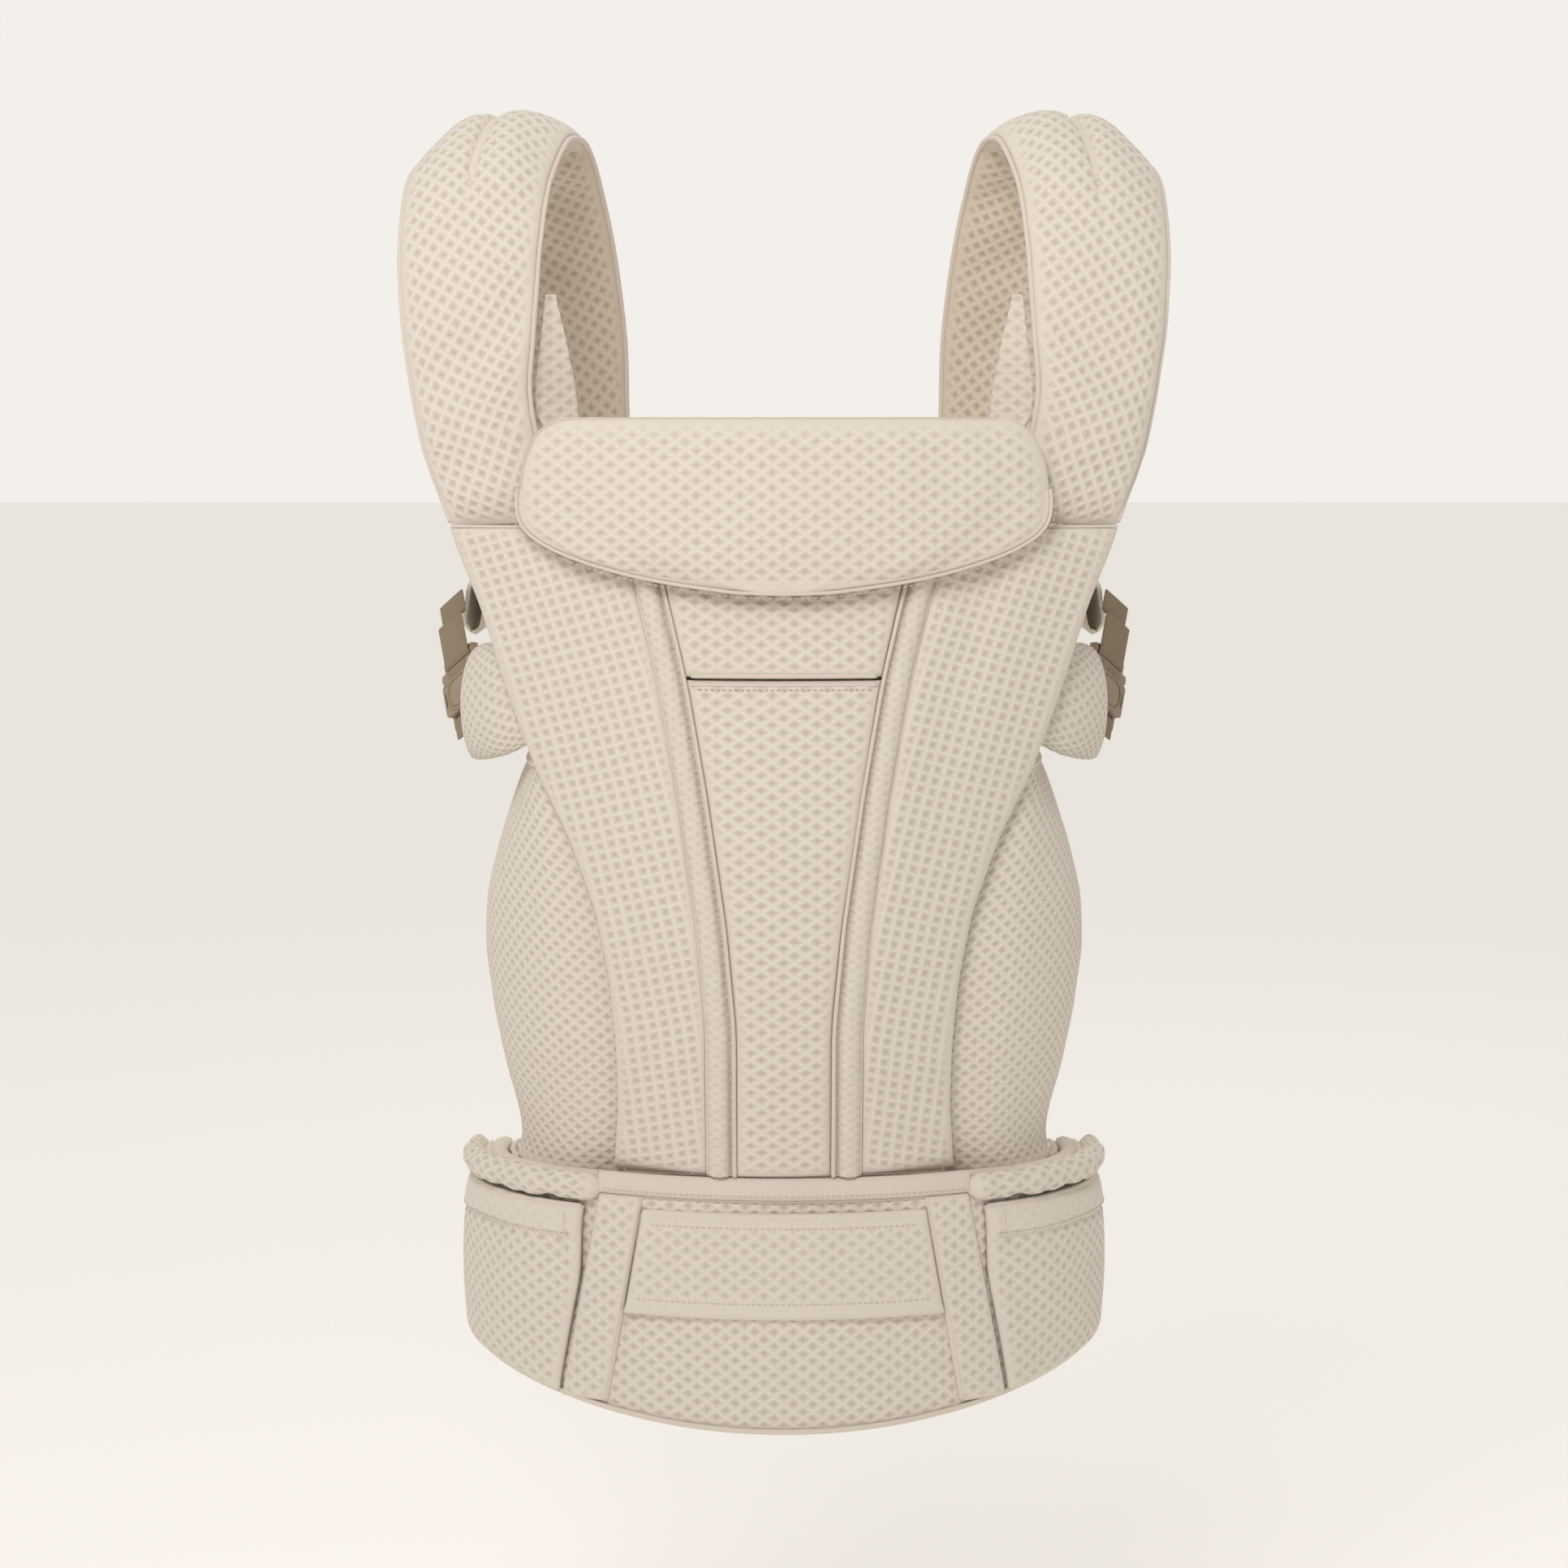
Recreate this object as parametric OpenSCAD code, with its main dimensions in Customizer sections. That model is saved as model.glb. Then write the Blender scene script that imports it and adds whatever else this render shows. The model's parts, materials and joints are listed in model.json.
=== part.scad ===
/* [Body] */
// Height of the waist belt at its front centre
belt_height = 140; // [136:1:142]
// Height of the fold that the head support hangs from
fold_height = 549; // [545:1:555]
// Thickness of the sewn fabric panels
panel_thickness = 4; // [3:0.5:5]
// Thickness of the seat lining behind the panels
lining_thickness = 3; // [2:0.5:4]

/* [Waist belt] */
// Half of the belt's outside width
belt_half_width = 172; // [168:1:176]
// Half of the belt's outside depth
belt_half_depth = 118; // [112:1:122]
// Thickness of the belt's foam core
belt_foam_thickness = 12; // [8:1:14]
// Angle from the front centre to each end of the padded belt
belt_end_angle = 100; // [90:1:110]
// Width of the hip webbing
hip_webbing_width = 38; // [30:1:38]

/* [Shoulder straps] */
// Thickness of a padded shoulder strap
strap_thickness = 17; // [14:1:20]
// Thickness of the strap's fabric
strap_skin = 2; // [1.5:0.5:3]

/* [Head support] */
// Thickness of the head support at its middle
head_thickness = 15; // [12:1:18]
// Radius of the head support's piping
piping_radius = 2.6; // [2:0.1:3]

/* [Buckles] */
// Width of the side and chest webbing
webbing_width = 25; // [20:1:25]
// Thickness of all webbing
webbing_thickness = 1.6; // [1.2:0.1:2]

/* [Hidden] */
gap = 0.4;
skin_depth = 2.5;

fabric = "wheat";
fabric_light = "linen";
webbing_colour = "tan";
buckle_colour = "rosybrown";
foam_colour = "white";

// ---------- general helpers ----------

// A vector of length one along v
function unit(v) = v / norm(v);

// A point on the smooth curve between control points i and i + 1
function curve_step(p, i, s) =
  let (n = len(p) - 1, a = p[max(i - 1, 0)], b = p[i], c = p[min(i + 1, n)], d = p[min(i + 2, n)])
  0.5 * (2 * b + (c - a) * s + (2 * a - 5 * b + 4 * c - d) * s * s + (3 * b - a - 3 * c + d) * s * s * s);

// A point on the smooth curve through p, at s from 0 to 1
function along(p, s) =
  let (n = len(p) - 1, f = s * n, i = min(floor(f), n - 1))
  curve_step(p, i, f - i);

// The sum of a list of vectors
function total(v) = [for (i = v) 1] * v;

// Whether a ring runs clockwise as seen from the ring before it
function clockwise(rings) =
  let (
    r = rings[0],
    area = total([for (i = [1:len(r) - 2]) cross(r[i] - r[0], r[i + 1] - r[0])]),
    way = total(rings[1]) - total(r)
  )
  area * way > 0;

// Triangles that close a ring of n points in strips from side to side, numbered from start
function cap(n, start) = [
  for (i = [0:n / 2 - 2])
    let (a = start + i, b = start + n - 1 - i)
    each [[a, a + 1, b - 1], [a, b - 1, b]]
];

// Triangles turned over
function flipped(faces) = [for (f = faces) [f[2], f[1], f[0]]];

// A closed solid from rings of points that each have the same even count
module skin(rings) {
  n = len(rings[0]);
  m = len(rings);
  turned = clockwise(rings);
  points = [for (ring = rings) for (i = [0:n - 1]) ring[turned ? n - 1 - i : i]];
  sides = [
    for (j = [0:m - 2], i = [0:n - 1])
      let (a = j * n + i, b = j * n + (i + 1) % n)
      each [[a, b, b + n], [a, b + n, a + n]]
  ];
  polyhedron(points, concat(flipped(cap(n, 0)), sides, cap(n, (m - 1) * n)), convexity = 6);
}

// Children, mirrored to the left when side is -1
module on_side(side) {
  if (side < 0) mirror([1, 0, 0]) children();
  else children();
}

// ---------- the body's front surface ----------

// How far forward the body's middle stands, by height
function front_y(z) = -lookup(z, [
  [140, 118], [170, 130], [210, 141], [267, 147], [330, 144], [400, 134], [460, 125], [510, 119], [560, 116]
]);

// Radius of the body's crown across its width, by height
function crown_radius(z) = lookup(z, [
  [140, 150], [270, 165], [350, 200], [450, 360], [500, 500], [560, 600]
]);

// The body's front surface
function body_y(x, z) = front_y(z) + x * x / (2 * crown_radius(z));

// Half-width of the centre panel, by height
function centre_edge(z) = lookup(z, [
  [140, 26], [225, 26], [280, 31], [349, 41], [411, 52], [457, 63], [560, 86]
]);

// Half-width out to the far side of the padded tubes
tube_width = 15;
function tube_edge(z) = centre_edge(z) + tube_width;

// Half-width out to the edge of the V-shaped panels
function panel_edge(z) = lookup(z, [
  [140, 93], [177, 90], [212, 90.5], [250, 94], [285, 101], [323, 115], [358, 133], [401, 149], [448, 164],
  [478, 176], [491, 180]
]);
strap_seam_z = 491;
seam_drop = 2.6;
strap_inner_x = 114;

// Evenly spaced numbers
function steps(a, b, n) = [for (i = [0:n]) a + (b - a) * i / n];

// A level ring of a fabric layer between two x values, depth in from the front surface
function layer_ring(z, xa, xb, front, back, n = 5) = concat(
  [for (x = steps(xa, xb, n)) [x, body_y(x, z) + front, z]],
  [for (x = steps(xb, xa, n)) [x, body_y(x, z) + back, z]]
);

body_bottom = belt_height + 2;
body_top = fold_height - 8;

module centre_panel() {
  color(fabric) skin([
    for (z = steps(body_bottom, body_top, 16))
      let (x = centre_edge(z) - gap)
      layer_ring(z, -x, x, 0, panel_thickness)
  ]);
}

welt_z = 411.5;
welt_height = 5;
welt_thickness = 1.4;
welt_half_width = centre_edge(welt_z) - 3;

module pocket_welt() {
  color(fabric_light) skin([
    for (z = [welt_z - welt_height / 2, welt_z + welt_height / 2])
      layer_ring(z, -welt_half_width, welt_half_width, -gap - welt_thickness, -gap)
  ]);
}

pocket_depth = 95;
pocket_front = panel_thickness + gap;
pocket_back = pocket_front + 2;
pocket_inset = 5;

module pocket_bag() {
  color(fabric) skin([
    for (z = steps(welt_z - pocket_depth, welt_z, 4))
      let (x = centre_edge(z) - pocket_inset)
      layer_ring(z, -x, x, pocket_front, pocket_back)
  ]);
}

// One V-shaped outer panel, on the right
module v_panel() {
  heights = concat(steps(body_bottom, strap_seam_z - seam_drop, 14), [strap_seam_z], steps(500, body_top, 2));
  color(fabric) skin([
    for (z = heights)
      let (outer = z < strap_seam_z ? panel_edge(z) : strap_inner_x)
      layer_ring(z, tube_edge(z) + gap, outer, 0, panel_thickness, 6)
  ]);
}

module panel_left() { on_side(-1) v_panel(); }
module panel_right() { on_side(1) v_panel(); }

tube_points = 10;
tube_half_depth = 5;
tube_forward = 0.5;

// One padded tube, on the right
module padded_tube() {
  half = tube_width / 2 - gap;
  color(fabric_light) skin([
    for (z = steps(body_bottom, body_top, 16))
      let (x = centre_edge(z) + tube_width / 2, y = body_y(x, z) + tube_forward)
      [
        for (i = [0:tube_points - 1])
          let (a = 360 * i / tube_points)
          [x + half * cos(a), y + tube_half_depth * sin(a), z]
      ]
  ]);
}

module tube_left() { on_side(-1) padded_tube(); }
module tube_right() { on_side(1) padded_tube(); }

lining_front = pocket_back + gap;
lining_back = lining_front + lining_thickness;
lining_inset = 8;

module body_lining() {
  color(fabric_light) skin([
    for (z = steps(body_bottom, body_top, 14))
      let (x = min(panel_edge(z), strap_inner_x) - lining_inset)
      layer_ring(z, -x, x, lining_front, lining_back, 8)
  ]);
}

hem_height = 5;
hem_thickness = panel_thickness + 3;

module top_hem() {
  z0 = body_top + gap;
  color(fabric_light) skin([
    for (z = [z0, z0 + hem_height])
      layer_ring(z, -strap_inner_x, strap_inner_x, 0, hem_thickness)
  ]);
}

// ---------- side panels ----------

side_top = 362;
side_bottom = 143;
// Outermost x of the side panels, by height
function side_reach(z) = lookup(z, [
  [140, 143.5], [150, 146], [165, 149], [190, 156], [220, 163], [252, 166.5], [285, 165], [315, 159],
  [340, 151], [362, 142]
]);
side_middle_y = -22;
side_wrap = 118;
side_tuck = 6;
side_thickness = skin_depth + 1;

// One side panel, on the right: it comes out from under the V-panel and wraps back round the seat
module side_panel() {
  back = panel_thickness + gap;
  color(fabric) skin([
    for (z = steps(side_bottom, side_top, 12))
      let (
        x0 = panel_edge(z) - side_tuck,
        y0 = body_y(panel_edge(z), z) + back,
        rx = side_reach(z) - x0,
        ry = side_middle_y - y0,
        rx_in = rx - side_thickness,
        ry_in = ry - side_thickness
      )
      concat(
        [for (a = steps(0, side_wrap, 8)) [x0 + rx * sin(a), side_middle_y - ry * cos(a), z]],
        [for (a = steps(side_wrap, 0, 8)) [x0 + rx_in * sin(a), side_middle_y - ry_in * cos(a), z]]
      )
  ]);
}

module side_panel_left() { on_side(-1) side_panel(); }
module side_panel_right() { on_side(1) side_panel(); }

// ---------- head support ----------

head_drop = 92;
// Half-width of the head support, by distance below its fold
function head_reach(s) = lookup(s, [
  [0, 116], [4, 126], [10, 133], [25, 139], [45, 142], [58, 141], [64, 134], [70, 122], [76, 106], [82, 85],
  [87, 60], [91, 26], [92, 12]
]);
head_gap = 6.5;
head_rows = [0, 3, 9, 20, 34, 48, 58, 64, 70, 76, 82, 87, 91];
head_edge_thickness = 7;
foam_inset = 3;

// Thickness of the head support over its width and height
function head_crown(x, s) =
  let (u = x / head_reach(s), v = (2 * s / head_drop) - 1)
  head_edge_thickness + (head_thickness - head_edge_thickness) * (1 - u * u) * (1 - v * v);

// A level ring of the head support between two shares of its thickness
function head_ring(s, front, back, trim = 0, n = 10) =
  let (z = fold_height - s, x1 = head_reach(s) - trim)
  concat(
    [for (x = steps(-x1, x1, n)) [x, body_y(x, z) - head_gap - head_crown(x, s) * front, z]],
    [for (x = steps(x1, -x1, n)) [x, body_y(x, z) - head_gap - head_crown(x, s) * back, z]]
  );

head_layers = [0, 0.22, 0.27, 0.73, 0.78, 1];
foam_rows = [84, 78, 72, 66, 60, 52, 40, 26, 14, 6, 2];

module head_cover() {
  color(fabric_light) skin([for (s = head_rows) head_ring(s, head_layers[5], head_layers[4])]);
}

module head_foam() {
  color(foam_colour) skin([
    for (s = foam_rows)
      head_ring(s, head_layers[3], head_layers[2], foam_inset, 8)
  ]);
}

module head_lining() {
  color(fabric) skin([for (s = head_rows) head_ring(s, head_layers[1], head_layers[0])]);
}

piping_points = 8;
piping_rows = [40, 50, 58, 64, 70, 76, 82, 87, 90.8];
piping_back = head_gap + 4;
piping_gap = 0.5;
piping_flat = 16;

// Centre of the piping on the right half, by distance below the fold
function piping_point(s) =
  let (
    slope = (head_reach(s + 1) - head_reach(s - 1)) / 2,
    n = unit([1, -slope]),
    off = piping_radius + gap + piping_gap,
    x = head_reach(s) + off * n[0],
    z = fold_height - s - off * n[1]
  )
  [x, body_y(head_reach(s), z) - piping_back, z];

module head_piping() {
  right = [for (s = piping_rows) piping_point(s)];
  low = fold_height - head_drop - piping_radius - piping_gap;
  bottom = [for (x = [piping_flat, -piping_flat]) [x, body_y(x, low) - piping_back, low]];
  left = [for (i = [len(right) - 1:-1:0]) [-right[i][0], right[i][1], right[i][2]]];
  path = concat(right, bottom, left);
  last = len(path) - 1;
  color(fabric_light) skin([
    for (k = [0:last])
      let (
        t = unit(path[min(k + 1, last)] - path[max(k - 1, 0)]),
        w = unit(cross(t, [0, -1, 0])),
        n = cross(w, t)
      )
      [
        for (i = [0:piping_points - 1])
          let (a = 360 * i / piping_points)
          path[k] + piping_radius * (cos(a) * w - sin(a) * n)
      ]
  ]);
}

// ---------- shoulder straps ----------

// Centre line of the right strap, from its seam over the shoulder to its end under the arm
strap_path = [
  [149, -89, 492], [160, -86, 525], [167.5, -81, 560], [169.5, -75, 602], [169.5, -64, 644], [166, -44, 684],
  [158, -12, 706], [149, 26, 698], [141, 58, 667], [134, 80, 622], [130, 92, 572], [131, 96, 525],
  [143, 90, 492], [163, 70, 464], [178, 47, 439]
];
// Direction that the strap's outside faces, at each point of its centre line
strap_facing = [
  [0.25, -0.97, 0], [0.22, -0.97, 0.05], [0.18, -0.97, 0.12], [0.1, -0.96, 0.2], [0.05, -0.9, 0.42],
  [0, -0.66, 0.75], [0, -0.1, 1], [0, 0.5, 0.86], [0.02, 0.84, 0.54], [0.05, 0.96, 0.25], [0.08, 0.99, 0.05],
  [0.15, 0.98, 0], [0.42, 0.9, 0], [0.8, 0.5, 0.1], [0.97, 0, 0.2]
];
// Width of the strap at each point of its centre line
strap_widths = [62, 62, 64, 72, 76, 78, 78, 77, 76, 76, 75, 73, 68, 59, 50];
strap_rings = 36;
// How strongly the strap's lower end is levelled to meet its seam, and over what share of its length
seam_level = 6;
seam_share = 0.1;

// The direction of a path at s, measured over a share reach on either side
function heading(p, s, reach) = unit(along(p, min(s + reach, 1)) - along(p, max(s - reach, 0)));

// Centre, width direction and facing of the strap at s from 0 to 1
function strap_frame(s) =
  let (
    c = along(strap_path, s),
    way = heading(strap_path, s, 0.01),
    t = unit(way + [0, 0, seam_level * max(0, 1 - s / seam_share)]),
    w = unit(cross(t, along(strap_facing, s)))
  )
  [c, w, cross(w, t), along(strap_widths, s)];

// A strap ring: each profile point is [share of the half-width, depth from the middle]
function strap_ring(s, profile) =
  let (f = strap_frame(s))
  [for (p = profile) f[0] + f[1] * (p[0] * f[3] / 2) + f[2] * p[1]];

half_strap = strap_thickness / 2;
cover_low = -half_strap + 4;
cover_outside = [
  [-1, cover_low], [-1, 0], [-0.93, half_strap - 3], [-0.7, half_strap], [0, half_strap + 0.6],
  [0.7, half_strap], [0.93, half_strap - 3], [1, 0], [1, cover_low]
];
cover_under = half_strap - strap_skin;
cover_inside = [
  [0.94, cover_low], [0.94, 0], [0.86, cover_under - 2.4], [0.45, cover_under - 0.6], [0, cover_under],
  [-0.45, cover_under - 0.6], [-0.86, cover_under - 2.4], [-0.94, 0], [-0.94, cover_low]
];
cover_profile = concat(cover_outside, cover_inside);
foam_top = cover_under - 1.4;
foam_low = cover_low + gap;
foam_profile = [
  [-0.89, foam_low], [-0.89, 0], [-0.82, foam_top - 2.4], [-0.45, foam_top - 0.6], [0, foam_top],
  [0.45, foam_top - 0.6], [0.82, foam_top - 2.4], [0.89, 0], [0.89, foam_low], [0.45, foam_low],
  [0, foam_low], [-0.45, foam_low]
];
lining_top = -half_strap + 3;
lining_profile = [
  [-1, lining_top], [-0.9, -half_strap], [-0.45, -half_strap - 0.3], [0, -half_strap - 0.4],
  [0.45, -half_strap - 0.3], [0.9, -half_strap], [1, lining_top], [0.45, lining_top - 0.4],
  [0, lining_top - 0.5], [-0.45, lining_top - 0.4]
];

// One layer of the right strap
module strap_layer(profile) {
  skin([for (s = steps(0, 1, strap_rings)) strap_ring(s, profile)]);
}

module strap_cover_left() { color(fabric) on_side(-1) strap_layer(cover_profile); }
module strap_cover_right() { color(fabric) on_side(1) strap_layer(cover_profile); }
module strap_foam_left() { color(foam_colour) on_side(-1) strap_layer(foam_profile); }
module strap_foam_right() { color(foam_colour) on_side(1) strap_layer(foam_profile); }
module strap_lining_left() { color(fabric_light) on_side(-1) strap_layer(lining_profile); }
module strap_lining_right() { color(fabric_light) on_side(1) strap_layer(lining_profile); }

// The gusset that fills the corner between the right strap and the body: height, outer x and y, inner x and y
gusset_rows = [
  [512, 119, -86, 112, -74], [530, 123, -84, 111, -70], [555, 134, -78, 112, -64], [585, 132, -72, 117, -62],
  [615, 129, -64, 124, -60]
];
gusset_thickness = 2.4;

module strap_gusset() {
  skin([
    for (row = gusset_rows)
      let (a = [row[1], row[2], row[0]], b = [row[3], row[4], row[0]], back = [0, gusset_thickness, 0])
      [a, a + back, b + back, b]
  ]);
}

module strap_gussets() {
  color(fabric_light) {
    on_side(-1) strap_gusset();
    on_side(1) strap_gusset();
  }
}

// ---------- side wings ----------

// Centre line of the right wing, from behind the V-panel back to the buckle
wing_path = [[141, -84, 397], [156, -68, 396], [168, -46, 392], [173, -27, 381], [173, -16, 371]];
wing_facing = [[0.6, -0.8, 0], [0.8, -0.6, 0], [0.96, -0.25, 0], [1, -0.05, 0], [0.97, -0.2, 0]];
wing_widths = [54, 60, 60, 48, 30];
wing_depths = [2.5, 6, 8, 6, 2.5];
wing_rings = 10;
wing_points = 10;

module side_wing() {
  color(fabric) skin([
    for (s = steps(0, 1, wing_rings))
      let (
        c = along(wing_path, s),
        t = heading(wing_path, s, 0.02),
        w = unit(cross(t, along(wing_facing, s))),
        n = cross(w, t),
        half = along(wing_widths, s) / 2,
        depth = along(wing_depths, s)
      )
      [
        for (i = [wing_points - 1:-1:0])
          let (a = 360 * i / wing_points)
          c + w * half * cos(a) + n * depth * sin(a)
      ]
  ]);
}

module side_wing_left() { on_side(-1) side_wing(); }
module side_wing_right() { on_side(1) side_wing(); }

// ---------- side-release buckles ----------

// A buckle's sizes: webbing width, body width, body thickness, socket length, plug base length
small_buckle = [webbing_width, webbing_width + 9, 10, 28, 13];
large_buckle = [hip_webbing_width, hip_webbing_width + 12, 13, 38, 16];
bar_radius = 2.2;
bar_offset = bar_radius + 0.4;
bar_zone = 7.4;
buckle_wall = 2.2;
ear_width = 2.4;
running_gap = 0.4;
corner = 3;
plug_corner = 2;
socket_floor = 2.4;
window_start = 4;
window_end = 13;
smooth = 32;

// A rectangle of length x, width y with round corners, its low end at x = 0
module round_rect(x, y, r) {
  translate([r, -y / 2]) square([x - 2 * r, y]);
  translate([0, r - y / 2]) square([x, y - 2 * r]);
  for (px = [r, x - r], py = [r - y / 2, y / 2 - r]) translate([px, py]) circle(r = r, $fn = smooth);
}

// A box centred in y and z, from x = a to x = b
module bar_box(a, b, y, z) {
  translate([a, -y / 2, -z / 2]) cube([b - a, y, z]);
}

// The end bar and its two ears, reaching from x = 0 to x = reach
module webbing_bar(b, reach) {
  ear_y = b[0] / 2 + 0.5;
  for (side = [-1, 1])
    translate([0, side > 0 ? ear_y : -ear_y - ear_width, -bar_radius])
      cube([reach, ear_width, 2 * bar_radius]);
  translate([bar_offset, b[0] / 2 + ear_width, 0])
    rotate([90, 0, 0])
      cylinder(r = bar_radius, h = b[0] + 2 * ear_width, $fn = smooth);
}

// The socket, from its webbing bar at x = 0 to its mouth
module buckle_socket(b) {
  inside_y = b[1] - 2 * buckle_wall;
  inside_z = b[2] - 2 * buckle_wall;
  difference() {
    union() {
      translate([bar_zone, 0, -b[2] / 2])
        linear_extrude(b[2])
          round_rect(b[3] - bar_zone, b[1], corner);
      webbing_bar(b, bar_zone + 1);
    }
    bar_box(bar_zone + socket_floor, b[3] + 1, inside_y, inside_z);
    bar_box(bar_zone + window_start, bar_zone + window_end, b[1] + 2, inside_z);
  }
}

prong_eye = 2;
prong_gap = 0.3;
prong_slot = 5.2;

// Where a prong turns: distance along the buckle and across it
function prong_pivot(b) = [b[3] + running_gap + 3.2, b[1] / 2 - buckle_wall - prong_eye - 0.6];

// The plug: base, guide tongue and webbing bar
module buckle_plug(b) {
  inside_z = b[2] - 2 * buckle_wall;
  start = b[3] + running_gap;
  block = b[4] - bar_zone;
  pivot = prong_pivot(b);
  difference() {
    union() {
      translate([start, 0, -(b[2] - 1) / 2])
        linear_extrude(b[2] - 1)
          round_rect(block, b[1] - 1, plug_corner);
      bar_box(bar_zone + window_start, start + 1, b[1] / 5, inside_z - 2 * running_gap);
      translate([start + b[4], 0, 0])
        mirror([1, 0, 0])
          webbing_bar(b, bar_zone);
    }
    for (side = [-1, 1]) {
      translate([pivot[0], side * pivot[1], -inside_z / 2])
        cylinder(r = prong_eye + prong_gap, h = inside_z, $fn = smooth);
      translate([start - 1, side * (pivot[1] - 0.4) - prong_slot / 2, -inside_z / 2])
        cube([pivot[0] - start + 1, prong_slot, inside_z]);
    }
  }
}

// One prong, on the side of +y
module buckle_prong(b) {
  pivot = prong_pivot(b);
  height = b[2] - 2 * buckle_wall - 2 * running_gap;
  wall_y = b[1] / 2 - buckle_wall - running_gap;
  tip = bar_zone + 4.6;
  catch_length = 8;
  translate([pivot[0], pivot[1], -height / 2])
    cylinder(r = prong_eye, h = height, $fn = smooth);
  translate([0, 0, -height / 2]) linear_extrude(height) polygon([
    [pivot[0], pivot[1] + 1.1], [pivot[0] - 4, wall_y - 1.2], [tip + catch_length, wall_y - 1.2],
    [tip + catch_length, wall_y], [tip + 2, wall_y - 0.6], [tip, wall_y - 2.6], [tip + 0.6, wall_y - 3.6],
    [tip + catch_length, wall_y - 4.2], [pivot[0], pivot[1] - 1.1]
  ]);
}

// Webbing round a bar at x = 0, with a tail to x = length on the outer face
module webbing_loop(b, length) {
  inner = bar_radius + 0.3;
  outer = inner + webbing_thickness;
  difference() {
    union() {
      rotate([90, 0, 0])
        cylinder(r = outer, h = b[0], center = true, $fn = smooth);
      translate([length < 0 ? length : 0, -b[0] / 2, inner])
        cube([abs(length), b[0], webbing_thickness]);
    }
    rotate([90, 0, 0])
      cylinder(r = inner, h = b[0] + 2, center = true, $fn = smooth);
  }
}

tail_reach = 24;

// The webbing that rides with the plug
module plug_tail(b, reach) {
  translate([b[3] + running_gap + b[4] - bar_offset, 0, 0]) webbing_loop(b, reach);
}

// The webbing that holds the socket
module socket_loop(b, reach) {
  translate([bar_offset, 0, 0]) webbing_loop(b, -reach);
}

// ---------- side buckles ----------

// The right side buckle: where its socket starts, the way to its plug and the way it faces
side_start = [177, 8, 378];
side_way = unit([13, 32, 58]);
side_outward = [0.76, -0.65, 0];
side_face = unit(side_outward - (side_outward * side_way) * side_way);
side_across = cross(side_face, side_way);
strap_webbing_start = 64;
strap_webbing_end = 77;
socket_webbing_reach = 10;
webbing_middle = 1;

// Children drawn in the right side buckle's own frame
module in_side_frame() {
  multmatrix([
    [side_way[0], side_across[0], side_face[0], side_start[0]],
    [side_way[1], side_across[1], side_face[1], side_start[1]],
    [side_way[2], side_across[2], side_face[2], side_start[2]],
    [0, 0, 0, 1]
  ]) children();
}

module side_webbing() {
  color(webbing_colour) in_side_frame() {
    socket_loop(small_buckle, socket_webbing_reach);
    translate([strap_webbing_start, -webbing_width / 2, -webbing_middle])
      cube([strap_webbing_end - strap_webbing_start, webbing_width, webbing_thickness]);
  }
}

module side_webbing_left() { on_side(-1) side_webbing(); }
module side_webbing_right() { on_side(1) side_webbing(); }
module side_socket(side) { color(buckle_colour) on_side(side) in_side_frame() buckle_socket(small_buckle); }
module side_socket_left() { side_socket(-1); }
module side_socket_right() { side_socket(1); }
module side_plug(side) { color(buckle_colour) on_side(side) in_side_frame() buckle_plug(small_buckle); }
module side_plug_left() { side_plug(-1); }
module side_plug_right() { side_plug(1); }

// A side prong: edge 1 is the front one and -1 the back one
module side_prong(side, edge) {
  color(buckle_colour)
    on_side(side)
      in_side_frame()
        mirror([0, edge < 0 ? 1 : 0, 0])
          buckle_prong(small_buckle);
}

module side_prong_front_left() { side_prong(-1, 1); }
module side_prong_front_right() { side_prong(1, 1); }
module side_prong_back_left() { side_prong(-1, -1); }
module side_prong_back_right() { side_prong(1, -1); }

// The webbing that rides with a side buckle's plug
module side_tail(side) {
  color(webbing_colour)
    on_side(side)
      in_side_frame()
        plug_tail(small_buckle, tail_reach);
}

module side_tail_left() { side_tail(-1); }
module side_tail_right() { side_tail(1); }

// ---------- chest strap ----------

chest_z = 505;
chest_y = 112;
chest_start = -21;
rail_x = 132;
rail_y = 107;
rail_thickness = 1.2;
rail_width = 10;
rail_low = 478;
rail_high = 552;
plug_travel = 20;
travel_spare = 3;
slider_size = [24, 4, 20];
slider_y = rail_y + rail_thickness + running_gap;
// Distances from the rails to the ends of the chest webbing on the left and the right
left_webbing_end = 14;
right_webbing_end = 13;

// Children drawn in the chest buckle's frame, along +X and facing +Y
module in_chest_frame() {
  translate([chest_start, chest_y, chest_z])
    rotate([-90, 0, 0])
      children();
}

module chest_rails() {
  color(webbing_colour)
    for (side = [-1, 1])
      translate([side * rail_x - rail_width / 2, rail_y, rail_low])
        cube([rail_width, rail_thickness, rail_high - rail_low]);
}

chest_end = small_buckle[3] + running_gap + small_buckle[4];

module chest_webbing() {
  right_start = chest_start + chest_end + plug_travel + travel_spare;
  color(webbing_colour) {
    in_chest_frame() socket_loop(small_buckle, rail_x + chest_start - left_webbing_end);
    translate([right_start, chest_y - webbing_middle, chest_z - webbing_width / 2])
      cube([rail_x - right_webbing_end - right_start, webbing_thickness, webbing_width]);
  }
}

module chest_sliders() {
  color(buckle_colour)
    for (side = [-1, 1])
      translate([side * rail_x - slider_size[0] / 2, slider_y, chest_z - slider_size[2] / 2])
        cube(slider_size);
}

module chest_socket() { color(buckle_colour) in_chest_frame() buckle_socket(small_buckle); }
module chest_plug() { color(buckle_colour) in_chest_frame() buckle_plug(small_buckle); }

// A chest prong: edge 1 is the lower one and -1 the upper one
module chest_prong(edge) {
  color(buckle_colour)
    in_chest_frame()
      mirror([0, edge < 0 ? 1 : 0, 0])
        buckle_prong(small_buckle);
}

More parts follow.
